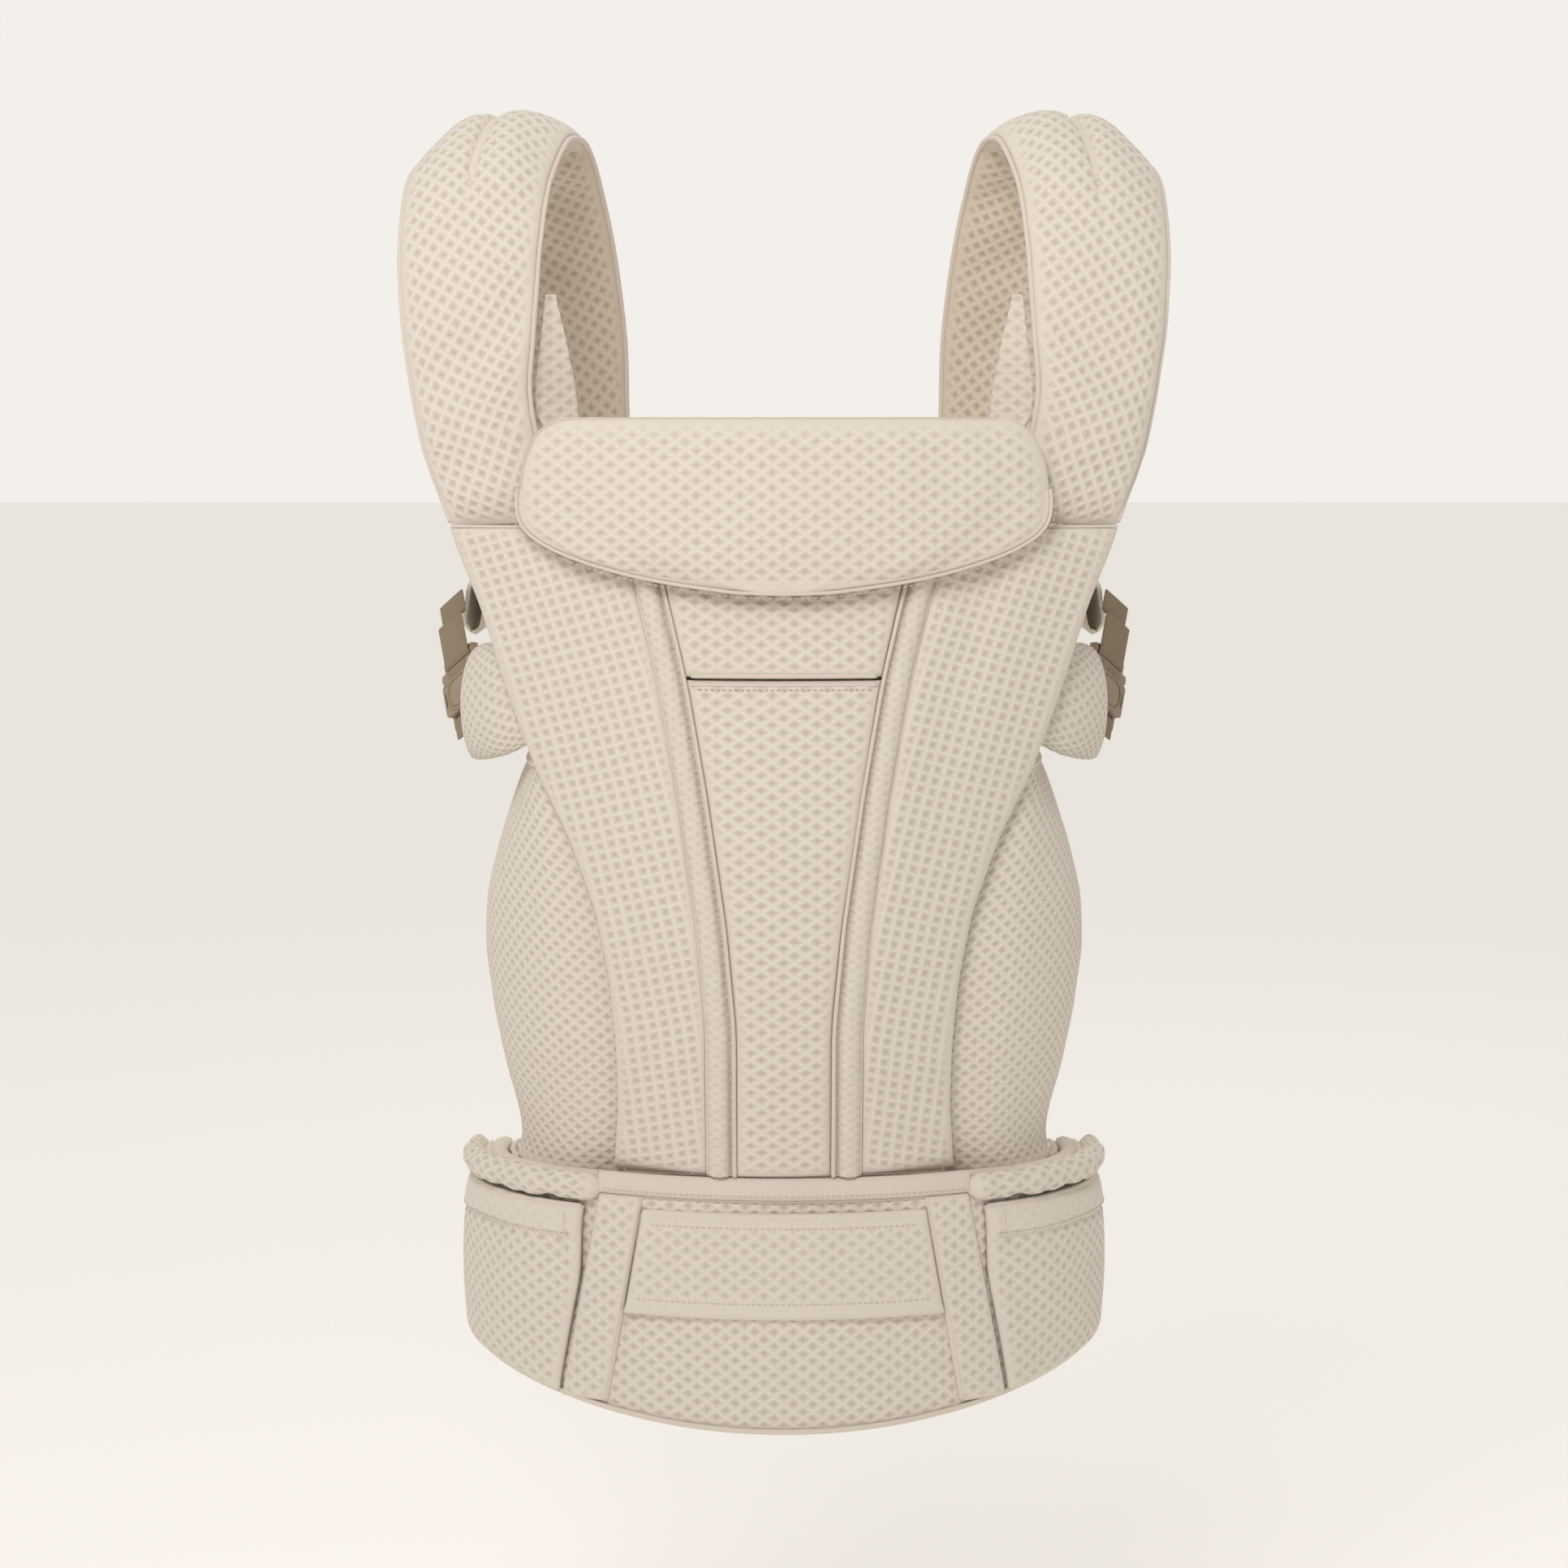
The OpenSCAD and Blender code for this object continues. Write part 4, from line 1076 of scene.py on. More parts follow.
def strap_surface(share, sign):
    """Points on the strap's outside (sign 1) or its inside (sign -1), share from -1 to 1 across it."""
    share = np.asarray(share, float)[None]
    s = strap_s[:, None]
    edge = np.clip(1 - np.abs(share) ** 3.2, 0, 1) ** 0.5
    taper = 0.35 + 0.65 * step(s, 0, 0.05) * (0.75 + 0.25 * step(1 - s, 0, 0.06))
    full = STRAP_THICK / 2 + 1.0 if sign > 0 else STRAP_THICK / 2 - 1.0
    depth = sign * full * edge * taper
    if sign > 0:
        over = bell(s, SHOULDER, 0.075)
        dart = bell(share - DART, 0, 0.05) + 0.5 * bell(share - DART, 0, 0.14)
        depth = depth - 5.0 * over * dart + 1.5 * over * bell(np.abs(share - DART), 0.45, 0.3)
        depth = depth + 0.9 * np.sin(s * 61 + share * 2.2) * edge * (0.35 + step(s, 0.55, 0.7))
    else:
        for at, slope in ((0.455, 0.012), (0.515, -0.01)):
            depth = depth + 3.2 * bell(s + slope * share, at, 0.0075) * edge
        depth = depth - 1.2 * np.sin(s * 90 + share * 3) * edge * bell(s, 0.5, 0.12)
    outer_dip, inner_dip = 17 * np.clip(share, 0, 1) ** 1.7, 7 * np.clip(-share, 0, 1) ** 2.4
    depth = depth - bell(s, SHOULDER, 0.085) * (outer_dip + inner_dip)
    half = S_WIDTH[:, None] / 2 * (1 - 0.012 * (sign < 0))
    return S_C[:, None] + S_W[:, None] * (share * half)[..., None] + S_N[:, None] * depth[..., None]


def strap_grain(share, angle):
    """Cell coordinates of a weave that is turned by an angle in degrees against the strap's length."""
    u = np.broadcast_to(S_LENGTH[:, None], (STRAP_ROWS, len(share)))
    v = np.asarray(share)[None] * S_WIDTH[:, None] / 2
    a = math.radians(angle)
    return np.stack([u * math.cos(a) + v * math.sin(a), v * math.cos(a) - u * math.sin(a)], -1) / WAFFLE_PITCH


def strap_held(j, i):
    """The strap is sewn at its ends and along its edges, and the dart on the shoulder holds it too."""
    edges = bell(np.abs(i % 0.5 - 0.25), 0.25, 0.03)
    return seam_ends(j, 0.03) + 0.85 * edges + 0.9 * bell(j, SHOULDER, 0.07) * bell(i, 0.26, 0.03)


strap_share = np.linspace(-1, 1, STRAP_COLS)
strap_rings = np.concatenate([strap_surface(strap_share, 1), strap_surface(strap_share[::-1], -1)], 1)
strap_rings = strap_rings + smooth_rings(inflate(strap_rings, 5, 4, strap_held, 3.2, 4), 20) * SIM_SHARE


def strap_side(name, first, material, angle, depth):
    """The outside (first) or the inside of the strap as a closed layer with a sparse hidden face."""
    own = strap_rings[:, :STRAP_COLS] if first else strap_rings[:, STRAP_COLS:]
    inner = own + S_N[:, None] * (-2.2 if first else 2.2)
    centre = own.mean(1, keepdims=True)
    inner = (centre + (inner - centre) * 0.97)[:, ::-1][:, ::6]
    rings = np.concatenate([own, inner], 1)
    share = strap_share if first else strap_share[::-1]
    hidden = share[::-1][::6]
    grain = np.concatenate([strap_grain(share, angle), strap_grain(hidden, angle)], 1)
    s = strap_s[:, None]
    near = (1 - np.abs(share))[None] * S_WIDTH[:, None] / 2
    fade = step(near, 0.5, 8) * step(s, 0.004, 0.02) * step(1 - s, 0.004, 0.02)
    if first:
        fade = fade * (1 - 0.9 * bell(s, SHOULDER, 0.075) * bell(share[None] - DART, 0, 0.05))
    fade = np.concatenate([fade, np.zeros(inner.shape[:2])], 1)
    return loft(name, rings, material, grain, fade, depth)


both(lambda name: strap_side(name, True, WAFFLE, 57, 0.6), "strap_fabric", "strap_cover", "strap_foam")
both(lambda name: strap_side(name, False, WAFFLE_PAINTED_SHADE, 40, 0.55), "strap_inside", "strap_lining")


def strap_edge(name):
    """The rolled seam round the strap's two long edges."""
    lines = []
    for k, share in ((0, -1), (STRAP_COLS - 1, 1)):
        both_sides = (strap_rings[:, k] + strap_rings[:, 2 * STRAP_COLS - 1 - k]) / 2
        path = both_sides[3:-2] + S_W[3:-2] * share * 0.2
        lines.append(cord(name + str(k), path[::2], 1.55, TRIM, 8, away=(0, 0.3, 0.6)))
    return join(name, lines)


both(strap_edge, "strap_piping")


def strap_dart(name):
    """The stitches of the dart down the middle of the strap's top."""
    rows = np.flatnonzero((strap_s > 0.33) & (strap_s < 0.47))
    column = int(0.52 * STRAP_COLS)
    path = strap_rings[rows, column] + S_N[rows] * 0.1
    return stitches(name, path, S_N[rows], THREAD)


both(strap_dart, "strap_dart")


def strap_seam(name):
    """The stitched line where the strap meets the V-shaped panel."""
    return cord(name, across(STRAP_SEAM_Z - 0.5, STRAP_INNER_X + 4, 179, 0.6), 0.9, TRIM, 8)


both(strap_seam, "strap_seam")
GUSSET_ROWS = [
    [512, 119, -86, 112, -74], [530, 123, -84, 111, -70], [555, 134, -78, 112, -64], [585, 132, -72, 117, -62],
    [615, 129, -64, 124, -60],
]


def gusset(name):
    """The small fabric web that closes the corner between the strap and the body."""
    rows = along(GUSSET_ROWS, np.linspace(0, 1, 70))
    share = np.linspace(0, 1, 16)[None, :, None]
    a = rows[:, None, [1, 2, 0]] * (1 - share) + rows[:, None, [3, 4, 0]] * share
    sag = np.sin(share * np.pi) * 0.8
    front = a + np.array([0, 1, 0]) * sag
    back = (a + np.array([0, 2.2, 0]) + np.array([0, 1, 0]) * sag)[:, ::-1]
    rings = np.concatenate([front, back], 1)
    grain = diamond(rings[..., 0], rings[..., 2])
    return loft(name, rings, WAFFLE, grain, np.full(rings.shape[:2], 0.8), 0.3)


gussets = both(gusset, "gusset_fabric")
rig.replaces(gussets[1], "strap_gussets")

# ---------- the side wings that carry the buckles ----------

WING_PATH = [[139, -86, 398], [153, -72, 396], [165, -50, 392], [171, -29, 383], [172, -16, 372]]
WING_FACING = [[0.6, -0.8, 0], [0.8, -0.6, 0], [0.93, -0.36, 0], [0.97, -0.2, 0], [0.95, -0.3, 0]]
WING_WIDTHS = [50, 60, 62, 52, 34]
WING_DEPTHS = [3, 8, 10, 8, 3]


def wing(name):
    """A padded wing, narrow at its two ends and rounded off at the buckle."""
    s = np.linspace(0, 1, 76)
    c = along(WING_PATH, s)
    t = unit(along(WING_PATH, np.minimum(s + 0.02, 1)) - along(WING_PATH, np.maximum(s - 0.02, 0)))
    w = unit(np.cross(t, unit(along(WING_FACING, s))))
    n = np.cross(w, t)
    a = full_turn(88)
    half, depth = along(WING_WIDTHS, s) / 2, along(WING_DEPTHS, s)
    closed = np.sqrt(np.clip(1 - (1 - np.minimum(1 - s, 0.16) / 0.16) ** 2, 0.02, 1))[:, None]
    half = half * (0.45 + 0.55 * closed)
    side = np.sin(a)[None] * closed
    across_it, out_of_it = half * np.cos(a)[None], depth * side
    rings = c[:, None] + w[:, None] * across_it[..., None] + n[:, None] * out_of_it[..., None]
    rings = rings + inflate(rings, 6, 5, lambda j, i: seam_ends(j, 0.1), 3.0, 4)
    u = np.broadcast_to(lengths(c)[:, None], rings.shape[:2])
    v = half * a[None]
    fade = step(np.minimum(s, 1 - s)[:, None] + 0 * v, 0.02, 0.1) + 0 * v
    return loft(name, rings, WAFFLE, diamond(u, v, 9.4, 7.2), fade)


both(wing, "wing_fabric", "side_wing")


# ---------- the waist belt ----------

BELT_W, BELT_D, BELT_TOP, FLARE, BELT_END = 172.0, 118.0, 140.0, 0.03, 100.0
BAND_LOW, BAND_HIGH, BINDING_LOW, BINDING_END = 63.0, 121.0, 128.0, 36.0
POUCH_TOP, POUCH_END, MOUTH = 120.0, 97.0, 18.0


def belt_low(t):
    return 28 * np.sin(np.radians(np.minimum(np.abs(t), 90))) ** 2


def belt_high(t):
    return BELT_TOP - 4 * np.sin(np.radians(np.minimum(np.abs(t), 90))) ** 2


def belt_point(t, z, d):
    """A point of the belt at angle t from the front centre, height z and depth d in from its face."""
    t, z, d = np.broadcast_arrays(np.asarray(t, float), np.asarray(z, float), np.asarray(d, float))
    inward = d - (BELT_TOP - z) * FLARE
    a = np.radians(t)
    return np.stack([(BELT_W - inward) * np.sin(a), -(BELT_D - inward) * np.cos(a), z], -1)


def belt_arc(t):
    """Distance round the belt's face from the front centre, in millimetres, by angle."""
    fine = np.linspace(-180, 180, 721)
    p = belt_point(fine, 70.0, 0.0)
    return np.interp(t, fine, lengths(p)) - lengths(p)[360]


def fixed(value):
    """An edge that stays at one value."""
    return lambda at: value + 0 * np.asarray(at, float)


def fixed_by_place(value):
    """A strength that is the same all over a layer."""
    return lambda t, z: value


def strip_inner(z):
    return np.interp(z, [0, 140], [34, 25.5])


def strip_outer(z):
    return np.interp(z, [0, 140], [44.5, 34.5])


def belt_patch(name, t0, t1, low, high, out, material, thick, weight=fixed_by_place(1.0)):
    """A layer of the belt between angles t0(z) and t1(z) and heights low(t) and high(t).

    out(t, z, near) is how far it stands out, where near is the distance to its closest edge, and weight(t, z)
    is the strength of its weave.
    """
    mid = 0.5 * (t0(70.0) + t1(70.0))
    span = belt_arc(t1(70.0)) - belt_arc(t0(70.0))
    cols = max(10, int(abs(span) / QUAD))
    rows = max(8, int((high(mid) - low(mid)) / QUAD))
    share_t = np.linspace(0, 1, cols)[None]
    share_z = np.linspace(0, 1, rows)[:, None]
    guess = low(mid) + (high(mid) - low(mid)) * share_z
    t = t0(guess) + (t1(guess) - t0(guess)) * share_t
    z = low(t) + (high(t) - low(t)) * share_z
    t = t0(z) + (t1(z) - t0(z)) * share_t
    u = belt_arc(t)
    near = np.minimum(np.minimum(u - u[:, :1], u[:, -1:] - u), np.minimum(z - low(t), high(t) - z))
    front = belt_point(t, z, -out(t, z, near))
    hidden = slice(None, None, -max(1, cols // 10))
    back = belt_point(t, z, thick - out(t, z, near))[:, hidden]
    grain = diamond(u, z)
    rings = np.concatenate([front, back], 1)
    grain = np.concatenate([grain, grain[:, hidden]], 1)
    fade = np.concatenate([step(near, 0.5, 5.0) * weight(t, z), np.zeros(back.shape[:2])], 1)
    return loft(name, rings, material, grain, fade)


def puffed(height, width, base):
    """How far a stuffed layer stands out: base at its seams and height more within."""
    return lambda t, z, near: base + height * to_seam(near, width)


def cover_out(t, z, near):
    """The belt's face bulges between its seams, more on the lower front."""
    return 1.6 * to_seam(near, 12) - 1.8 + 0.8 * np.sin(np.asarray(t) / 9 + z / 31) * step(near, 2, 14)


belt_face = belt_patch(
    "belt_fabric", fixed(-BELT_END), fixed(BELT_END), belt_low, lambda t: belt_high(t) - 2.4, cover_out,
    WAFFLE, 2.2,
)
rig.replaces(belt_face, "belt_cover", "belt_foam")



def lining_out(t, z, near):
    return -17.8 + 1.2 * (1 - to_seam(near, 12))


belt_inside = belt_patch(
    "belt_lining_fabric", fixed(-BELT_END), fixed(BELT_END), lambda t: belt_low(t) + 0.6,
    lambda t: belt_high(t) - 2.8, lining_out, WAFFLE_PAINTED_SHADE, -2.4,
)
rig.replaces(belt_inside, "belt_lining")


def belt_core():
    """The belt's foam, seen at its lower edge and its ends as a rounded roll between the layers."""
    t = np.linspace(-BELT_END + 0.6, BELT_END - 0.6, 240)
    a = full_turn(20)
    low, high = belt_low(t) + 1.2, belt_high(t) - 0.4
    mid, half = (low + high) / 2, (high - low) / 2
    z = mid[:, None] + half[:, None] * rounded_box(a, 0.35)[1]
    d = 9.0 - 7.6 * rounded_box(a, 0.7)[0][None]
    rings = belt_point(t[:, None], z, d)
    grain = np.stack([np.broadcast_to(belt_arc(t)[:, None], z.shape), z], -1)
    return loft("belt_padding", rings, TRIM, grain, np.zeros(z.shape), 0)


belt_core()
round_belt = np.linspace(-BELT_END, BELT_END, 300)
hems = [
    cord("hem_outer", belt_point(round_belt, belt_low(round_belt) + 1.0, -0.4), 1.5, TRIM, 10, away=UP),
    cord("hem_inner", belt_point(round_belt, belt_low(round_belt) + 1.0, 17.0), 1.4, TRIM, 8, away=UP),
    cord("hem_top", belt_point(round_belt, belt_high(round_belt) - 3.0, 17.0), 1.4, TRIM, 8, away=UP),
]
join("belt_edge_seam", hems)

binding = belt_patch(
    "belt_binding_fabric", fixed(-BINDING_END), fixed(BINDING_END), fixed(BINDING_LOW), fixed(BELT_TOP),
    puffed(2.1, 5.0, 1.1), TRIM, 3.4, weight=fixed_by_place(0.15),
)
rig.replaces(binding, "belt_binding")
seam_t = np.linspace(-BINDING_END + 0.4, BINDING_END - 0.4, 160)
# painted shade: the seam cord in the crease under the binding is drawn in the darker trim
cord("binding_seam", belt_point(seam_t, BINDING_LOW - 0.8, -0.2), 0.8, TRIM_CREASE_SHADE)


def belt_row(name, t, z, out):
    """A row of stitches along the belt's face at angles t and height z, standing out by out."""
    outwards = belt_point(t, z, -out - 1) - belt_point(t, z, -out)
    return stitches(name, belt_point(t, z, -out), outwards, THREAD)


belt_row("binding_stitches", np.linspace(1 - BINDING_END, BINDING_END - 1, 300), BINDING_LOW + 2.6, 3.0)


def strip(name):
    return belt_patch(
        name, strip_inner, strip_outer, fixed(13.0), fixed(BINDING_LOW - 0.6), puffed(1.7, 5, 1.6),
        WAFFLE, 3.6,
    )


strips = both(strip, "strip_fabric")
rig.replaces(strips[1], "belt_strips")


def band_out(t, z, near):
    """The band is puffed, with its hem rolled up along its lower edge and its upper one."""
    return 1.6 + 1.3 * to_seam(near, 6) + 1.0 * bell(z, BAND_LOW + 1, 3.2) + 0.5 * bell(z, BAND_HIGH - 2, 3)


def band_weight(t, z):
    """The weave is pressed flat where the band's hems are stitched down."""
    return 0.1 + 0.75 * step(z, BAND_LOW + 9, BAND_LOW + 12) * step(BAND_HIGH - z, 8, 11)


band = belt_patch(
    "belt_band_fabric", lambda z: -strip_inner(z) + 0.4, lambda z: strip_inner(z) - 0.4, fixed(BAND_LOW),
    fixed(BAND_HIGH), band_out, WAFFLE, 3.4, weight=band_weight,
)
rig.replaces(band, "belt_band")
band_rows = []
for z in (BAND_LOW + 3, BAND_LOW + 8.6, BAND_HIGH - 3, BAND_HIGH - 8):
    end = float(strip_inner(z)) - 2.2
    band_rows.append(belt_row("row", np.linspace(-end, end, 320), z, 2.9))
join("band_stitches", band_rows)


def strip_edges(name):
    lines = []
    for k, (edge, off) in enumerate(((strip_inner, 0.5), (strip_outer, -0.5))):
        z = np.linspace(14, BINDING_LOW - 1, 90)
        lines.append(cord(name + str(k), belt_point(edge(z) + off, z, -2.0), 0.8, TRIM, 6))
    return join(name, lines)


both(strip_edges, "strip_seam")


def pouch_start(z):
    """The pouch's front edge draws away from the strip as it rises to its mouth."""
    z = np.asarray(z, float)
    return strip_outer(z) + 0.7 + 2.2 * step(z, POUCH_TOP - 45, POUCH_TOP)


def pouch_out(t, z, near):
    t = np.asarray(t, float)
    low = belt_low(t) + 2
    full = step(t, 35, 54) * 3.4
    shape = np.sin(np.clip((z - low) / (POUCH_TOP + 6 - low), 0, 1) * np.pi) ** 0.55
    sag = 1.1 * np.sin(t / 5.2 + z / 23) * step(near, 3, 16)
    hem_z = POUCH_TOP - MOUTH
    mouth = 0.9 * step(z, hem_z, hem_z + 3) - 1.3 * bell(z, hem_z - 0.4, 1.6)
    return 3.4 + 2.4 * to_seam(near, 9) + full * shape + sag * 0.7 + mouth * step(near, 0, 3)


def pouch(name):
    """A side pouch: full and round below, open along its hemmed top."""
    return belt_patch(
        name, pouch_start, fixed(POUCH_END), lambda t: belt_low(t) + 2, fixed(POUCH_TOP), pouch_out,
        WAFFLE, 2.4,
        weight=lambda t, z: 1 - 0.7 * step(z, POUCH_TOP - MOUTH - 1, POUCH_TOP - MOUTH + 1),
    )


both(pouch, "pouch_fabric", "belt_pouch")


def pouch_hem(name):
    """The pouch's rolled mouth edge and the stitched tack at its front corner."""
    t = np.linspace(float(pouch_start(POUCH_TOP)) + 0.4, POUCH_END, 160)
    top = belt_point(t, POUCH_TOP - 0.3, -pouch_out(t, POUCH_TOP - 0.3, 1.0) + 1.6)
    rise = np.linspace(POUCH_TOP - MOUTH + 3, POUCH_TOP - 4, 30)
    tack_t = float(pouch_start(POUCH_TOP)) + 3.2
    tack = belt_point(tack_t, rise, -pouch_out(tack_t, rise, 8.0) + 0.2)
    return join(name, [cord(name, top, 1.5, TRIM, 10, away=UP), cord(name + "_tack", tack, 0.9, TRIM, 8)])


def mouth_row(name):
    t = np.linspace(float(pouch_start(POUCH_TOP)) + 1.5, POUCH_END - 1, 500)
    z = POUCH_TOP - MOUTH + 2.6
    path = belt_point(t, z, -pouch_out(t, z, 12.0) - 0.1)
    return stitches(name, path, path - belt_point(t, z, 0), THREAD)


both(pouch_hem, "pouch_hem")
both(mouth_row, "pouch_stitches")
ROLL_START, ROLL_Z = 35.0, 131.0


def roll_held(j, i):
    """A roll is sewn at its ends and along the line where it meets the belt."""
    return seam_ends(j, 0.08) + 0.9 * bell(i, 0.5, 0.1)


def roll(name):
    """The padded roll along the belt's upper edge at the side."""
    t = np.linspace(ROLL_START, POUCH_END, 130)
    a = full_turn(52)
    near = np.minimum(t - ROLL_START, POUCH_END - t)
    closed = np.sqrt(np.clip(1 - (1 - np.minimum(near, 4.5) / 4.5) ** 2, 0.03, 1))
    swell = closed * (0.86 + 0.14 * np.sin(np.pi * (t - 29.5) / (POUCH_END - 21.5)))
    pleat = 1 + 0.04 * np.sin(t * 0.9) + 0.03 * np.sin(t * 0.37 + 1)
    z = ROLL_Z + (8.6 * swell * pleat)[:, None] * np.sin(a)[None]
    d = 1.6 - (5.6 * swell * pleat)[:, None] * (1 + np.cos(a)[None])
    rings = belt_point(t[:, None], z, d)
    rings = rings + inflate(rings, 6, 4, roll_held, 3.0, 2)
    along_it = np.broadcast_to(belt_arc(t)[:, None], z.shape)
    grain = diamond(along_it, (a[None] + np.pi) % (2 * np.pi) * 8.0 + 0 * z)
    fade = step(near, 0.5, 4)[:, None] * step(1 + np.cos(a), 0.1, 0.6)[None]
    return loft(name, rings, WAFFLE, grain, fade)


rolls = both(roll, "roll_fabric")
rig.replaces(rolls[1], "belt_rolls")

# ---------- webbing ----------


def ribbon(name, path, across_way, width, thick=1.6, cols=16):
    """Flat webbing with rounded edges along a line of points; across_way points over its width."""
    p = np.asarray(path, float)
    w = unit(np.broadcast_to(np.asarray(across_way, float), p.shape))
    t = unit(np.gradient(p, axis=0))
    w = unit(w - (w * t).sum(1, keepdims=True) * t)
    n = np.cross(t, w)
    u, v = rounded_box(full_turn(2 * cols), 0.35)
    u, v = u * width / 2, v * thick / 2
    rings = p[:, None] + u[None, :, None] * w[:, None] + v[None, :, None] * n[:, None]
    grain = np.stack(np.broadcast_arrays(lengths(p)[:, None], u[None]), -1)
    return loft(name, rings, WEB, grain, np.zeros(rings.shape[:2]), 0)


HIP_WIDTH, HIP_Z = 38.0, 99.0


def back_angle(x):
    """The belt's angle at a distance x to the side of the middle of the back."""
    return 180 - math.degrees(math.asin(x / BELT_W))


def hip(x_end):
    """The line of the hip webbing from under a pouch to where it lies x_end from the middle of the back."""
    return belt_point(np.linspace(39.5, back_angle(x_end), 200), HIP_Z, -1.2)


def square_frame(start, way, face):
    """A buckle's frame: its start, the way along it, across it and the way that it faces."""
    way, face = unit(np.array(way, float)), np.array(face, float)
    face = unit(face - (face @ way) * way)
    return np.array(start, float), way, np.cross(face, way), face


WAIST = square_frame([-29, 117.6, HIP_Z], [1, 0, 0], [0, 1, 0])
CHEST = square_frame([-21, 112, 505], [1, 0, 0], [0, 1, 0])
SIDE = square_frame([177, 8, 378], [13, 32, 58], [0.76, -0.65, 0])
SMALL = dict(web=25, body=34, thick=10, socket=28, plug=13)
LARGE = dict(web=38, body=50, thick=13, socket=38, plug=16)
BAR, BAR_AT, RUN = 2.2, 2.6, 0.4
RAIL_X = 132


def in_frame(f, x, y, z):
    x, y, z = np.broadcast_arrays(np.asarray(x, float), y, z)
    return f[0] + x[..., None] * f[1] + y[..., None] * f[2] + z[..., None] * f[3]


def loop(name, f, b, at, length):
    """Webbing that comes along to a bar, goes round it and returns, in a buckle's own frame."""
    r = BAR + 0.3 + 0.8
    sign = 1 if length > 0 else -1
    a = np.radians(np.linspace(90, 90 + 300, 26))
    round_x, round_z = at + sign * r * np.cos(a), r * np.sin(a)
    tail = np.linspace(length, 0, 26)[:-1]
    x = np.concatenate([at + tail, round_x])
    z = np.concatenate([r + 0 * tail, round_z])
    path = in_frame(f, x, 0.0, z)
    return ribbon(name, path, f[2], b["web"])


def buckle_length(b):
    return b["socket"] + RUN + b["plug"]


# the hip webbing runs from the pouches round to the rear buckle
hip_right = ribbon("hip_webbing_right_band", hip(56.4), UP, HIP_WIDTH)
hip_left_main = ribbon("hip_main", hip(56.0) * np.array([-1, 1, 1]), UP, HIP_WIDTH)
hip_left = join("hip_webbing_left_band", [hip_left_main, loop("hip_loop", WAIST, LARGE, BAR_AT, -24)])
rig.replaces(hip_right, "hip_webbing_right")
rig.replaces(hip_left, "hip_webbing_left")
waist_tail = loop("waist_tail_band", WAIST, LARGE, buckle_length(LARGE) - BAR_AT, 38)
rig.replaces(waist_tail, "waist_tail")
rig.ride(waist_tail, "waist_plug")

chest_left = loop("chest_webbing_band", CHEST, SMALL, BAR_AT, -97)
right_line = in_frame(CHEST, np.linspace(buckle_length(SMALL) + 23, RAIL_X + 8, 60), 0.0, -0.2)
chest_right = ribbon("chest_right_band", right_line, UP, SMALL["web"])
chest_band = join("chest_webbing_band", [chest_left, chest_right])
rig.replaces(chest_band, "chest_webbing")
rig.ride(chest_band, "chest_strap")
chest_tail = loop("chest_tail_band", CHEST, SMALL, buckle_length(SMALL) - BAR_AT, 24)
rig.replaces(chest_tail, "chest_tail")
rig.ride(chest_tail, "chest_plug")


def rail(x):
    """The narrow webbing that a slider of the chest strap runs on."""
    z = np.linspace(478, 552, 60)
    return ribbon("rail", np.stack([0 * z + x, 0 * z + 107.6, z], 1), (1, 0, 0), 10, 1.2, 8)


rails = join("chest_rail_bands", [rail(-RAIL_X), rail(RAIL_X)])
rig.replaces(rails, "chest_rails")


def side_band(name):
    strap_end = ribbon(name, in_frame(SIDE, np.linspace(64, 77, 16), 0.0, -0.2), SIDE[2], SMALL["web"])
    return join(name, [loop(name + "_loop", SIDE, SMALL, BAR_AT, -10), strap_end])


def side_tail(name):
    return loop(name, SIDE, SMALL, buckle_length(SMALL) - BAR_AT, 24)


both(side_band, "side_webbing_band", "side_webbing")
side_tails = both(side_tail, "side_tail_band", "side_tail")
for obj, side in zip(side_tails, ("left", "right")):
    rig.ride(obj, "side_plug_" + side)


# ---------- buckles ----------


def oval(f, x, y, rx, ry, z, power=0.75):
    """A closed line round an oval with squared corners, in a buckle's frame."""
    px, py = rounded_box(np.linspace(0, 2 * np.pi, 48), power)
    return in_frame(f, x + px * rx, y + py * ry, z)


def pad(name, f, x, y, rx, ry, z0, z1, material, power, crown):
    """A raised or sunk pad with rounded corners on a buckle's face."""
    tall = z1 - z0
    rows = [
        (1.0, z0), (1.0, z0 + tall * 0.6), (0.93, z0 + tall * 0.92), (0.8, z1), (0.4, z1 + crown * 0.7),
        (0.1, z1 + crown),
    ]
    rings = [oval(f, x, y, rx * k, ry * k, z, power)[:-1] for k, z in rows]
    return loft(name, np.array(rings), material)


def both_faces(f):
    """A buckle's frame as seen from its face and from its back, each with a word for the names."""
    return (("face", f), ("back", (f[0], f[1], f[2], -f[3])))


def slide(name, f, x, y, z, radius, sides):
    """A small moulded rib along a line in a buckle's frame."""
    return cord(name, in_frame(f, x, y, z), radius, BUCKLE, sides, away=f[3])


def socket_middle(b):
    """The middle of the socket's closed part, along the buckle."""
    return 7.4 + (b["socket"] - 7.4) * 0.52


def socket_details(name, f, b):
    """The raised pad, the loop round it and the lip that a socket's two faces carry."""
    middle, top = socket_middle(b), b["thick"] / 2
    lip = np.linspace(-b["body"] / 2 + 3.5, b["body"] / 2 - 3.5, 24)
    made = []
    for side, g in both_faces(f):
        rim = oval(g, middle, 0, b["socket"] * 0.33, b["body"] * 0.37, top + 0.1)
        rx, ry = b["socket"] * 0.27, b["body"] * 0.3
        made += [
            pad(side, g, middle, 0, rx, ry, top - 0.3, top + 0.7, BUCKLE, 0.6, 0.5),
            cord(side + "_loop", rim, 0.75, BUCKLE, 8, away=g[3]),
            slide(side + "_lip", g, b["socket"] - 1.1, lip, top - 0.05, 0.7, 8),
        ]
    return join(name, made)


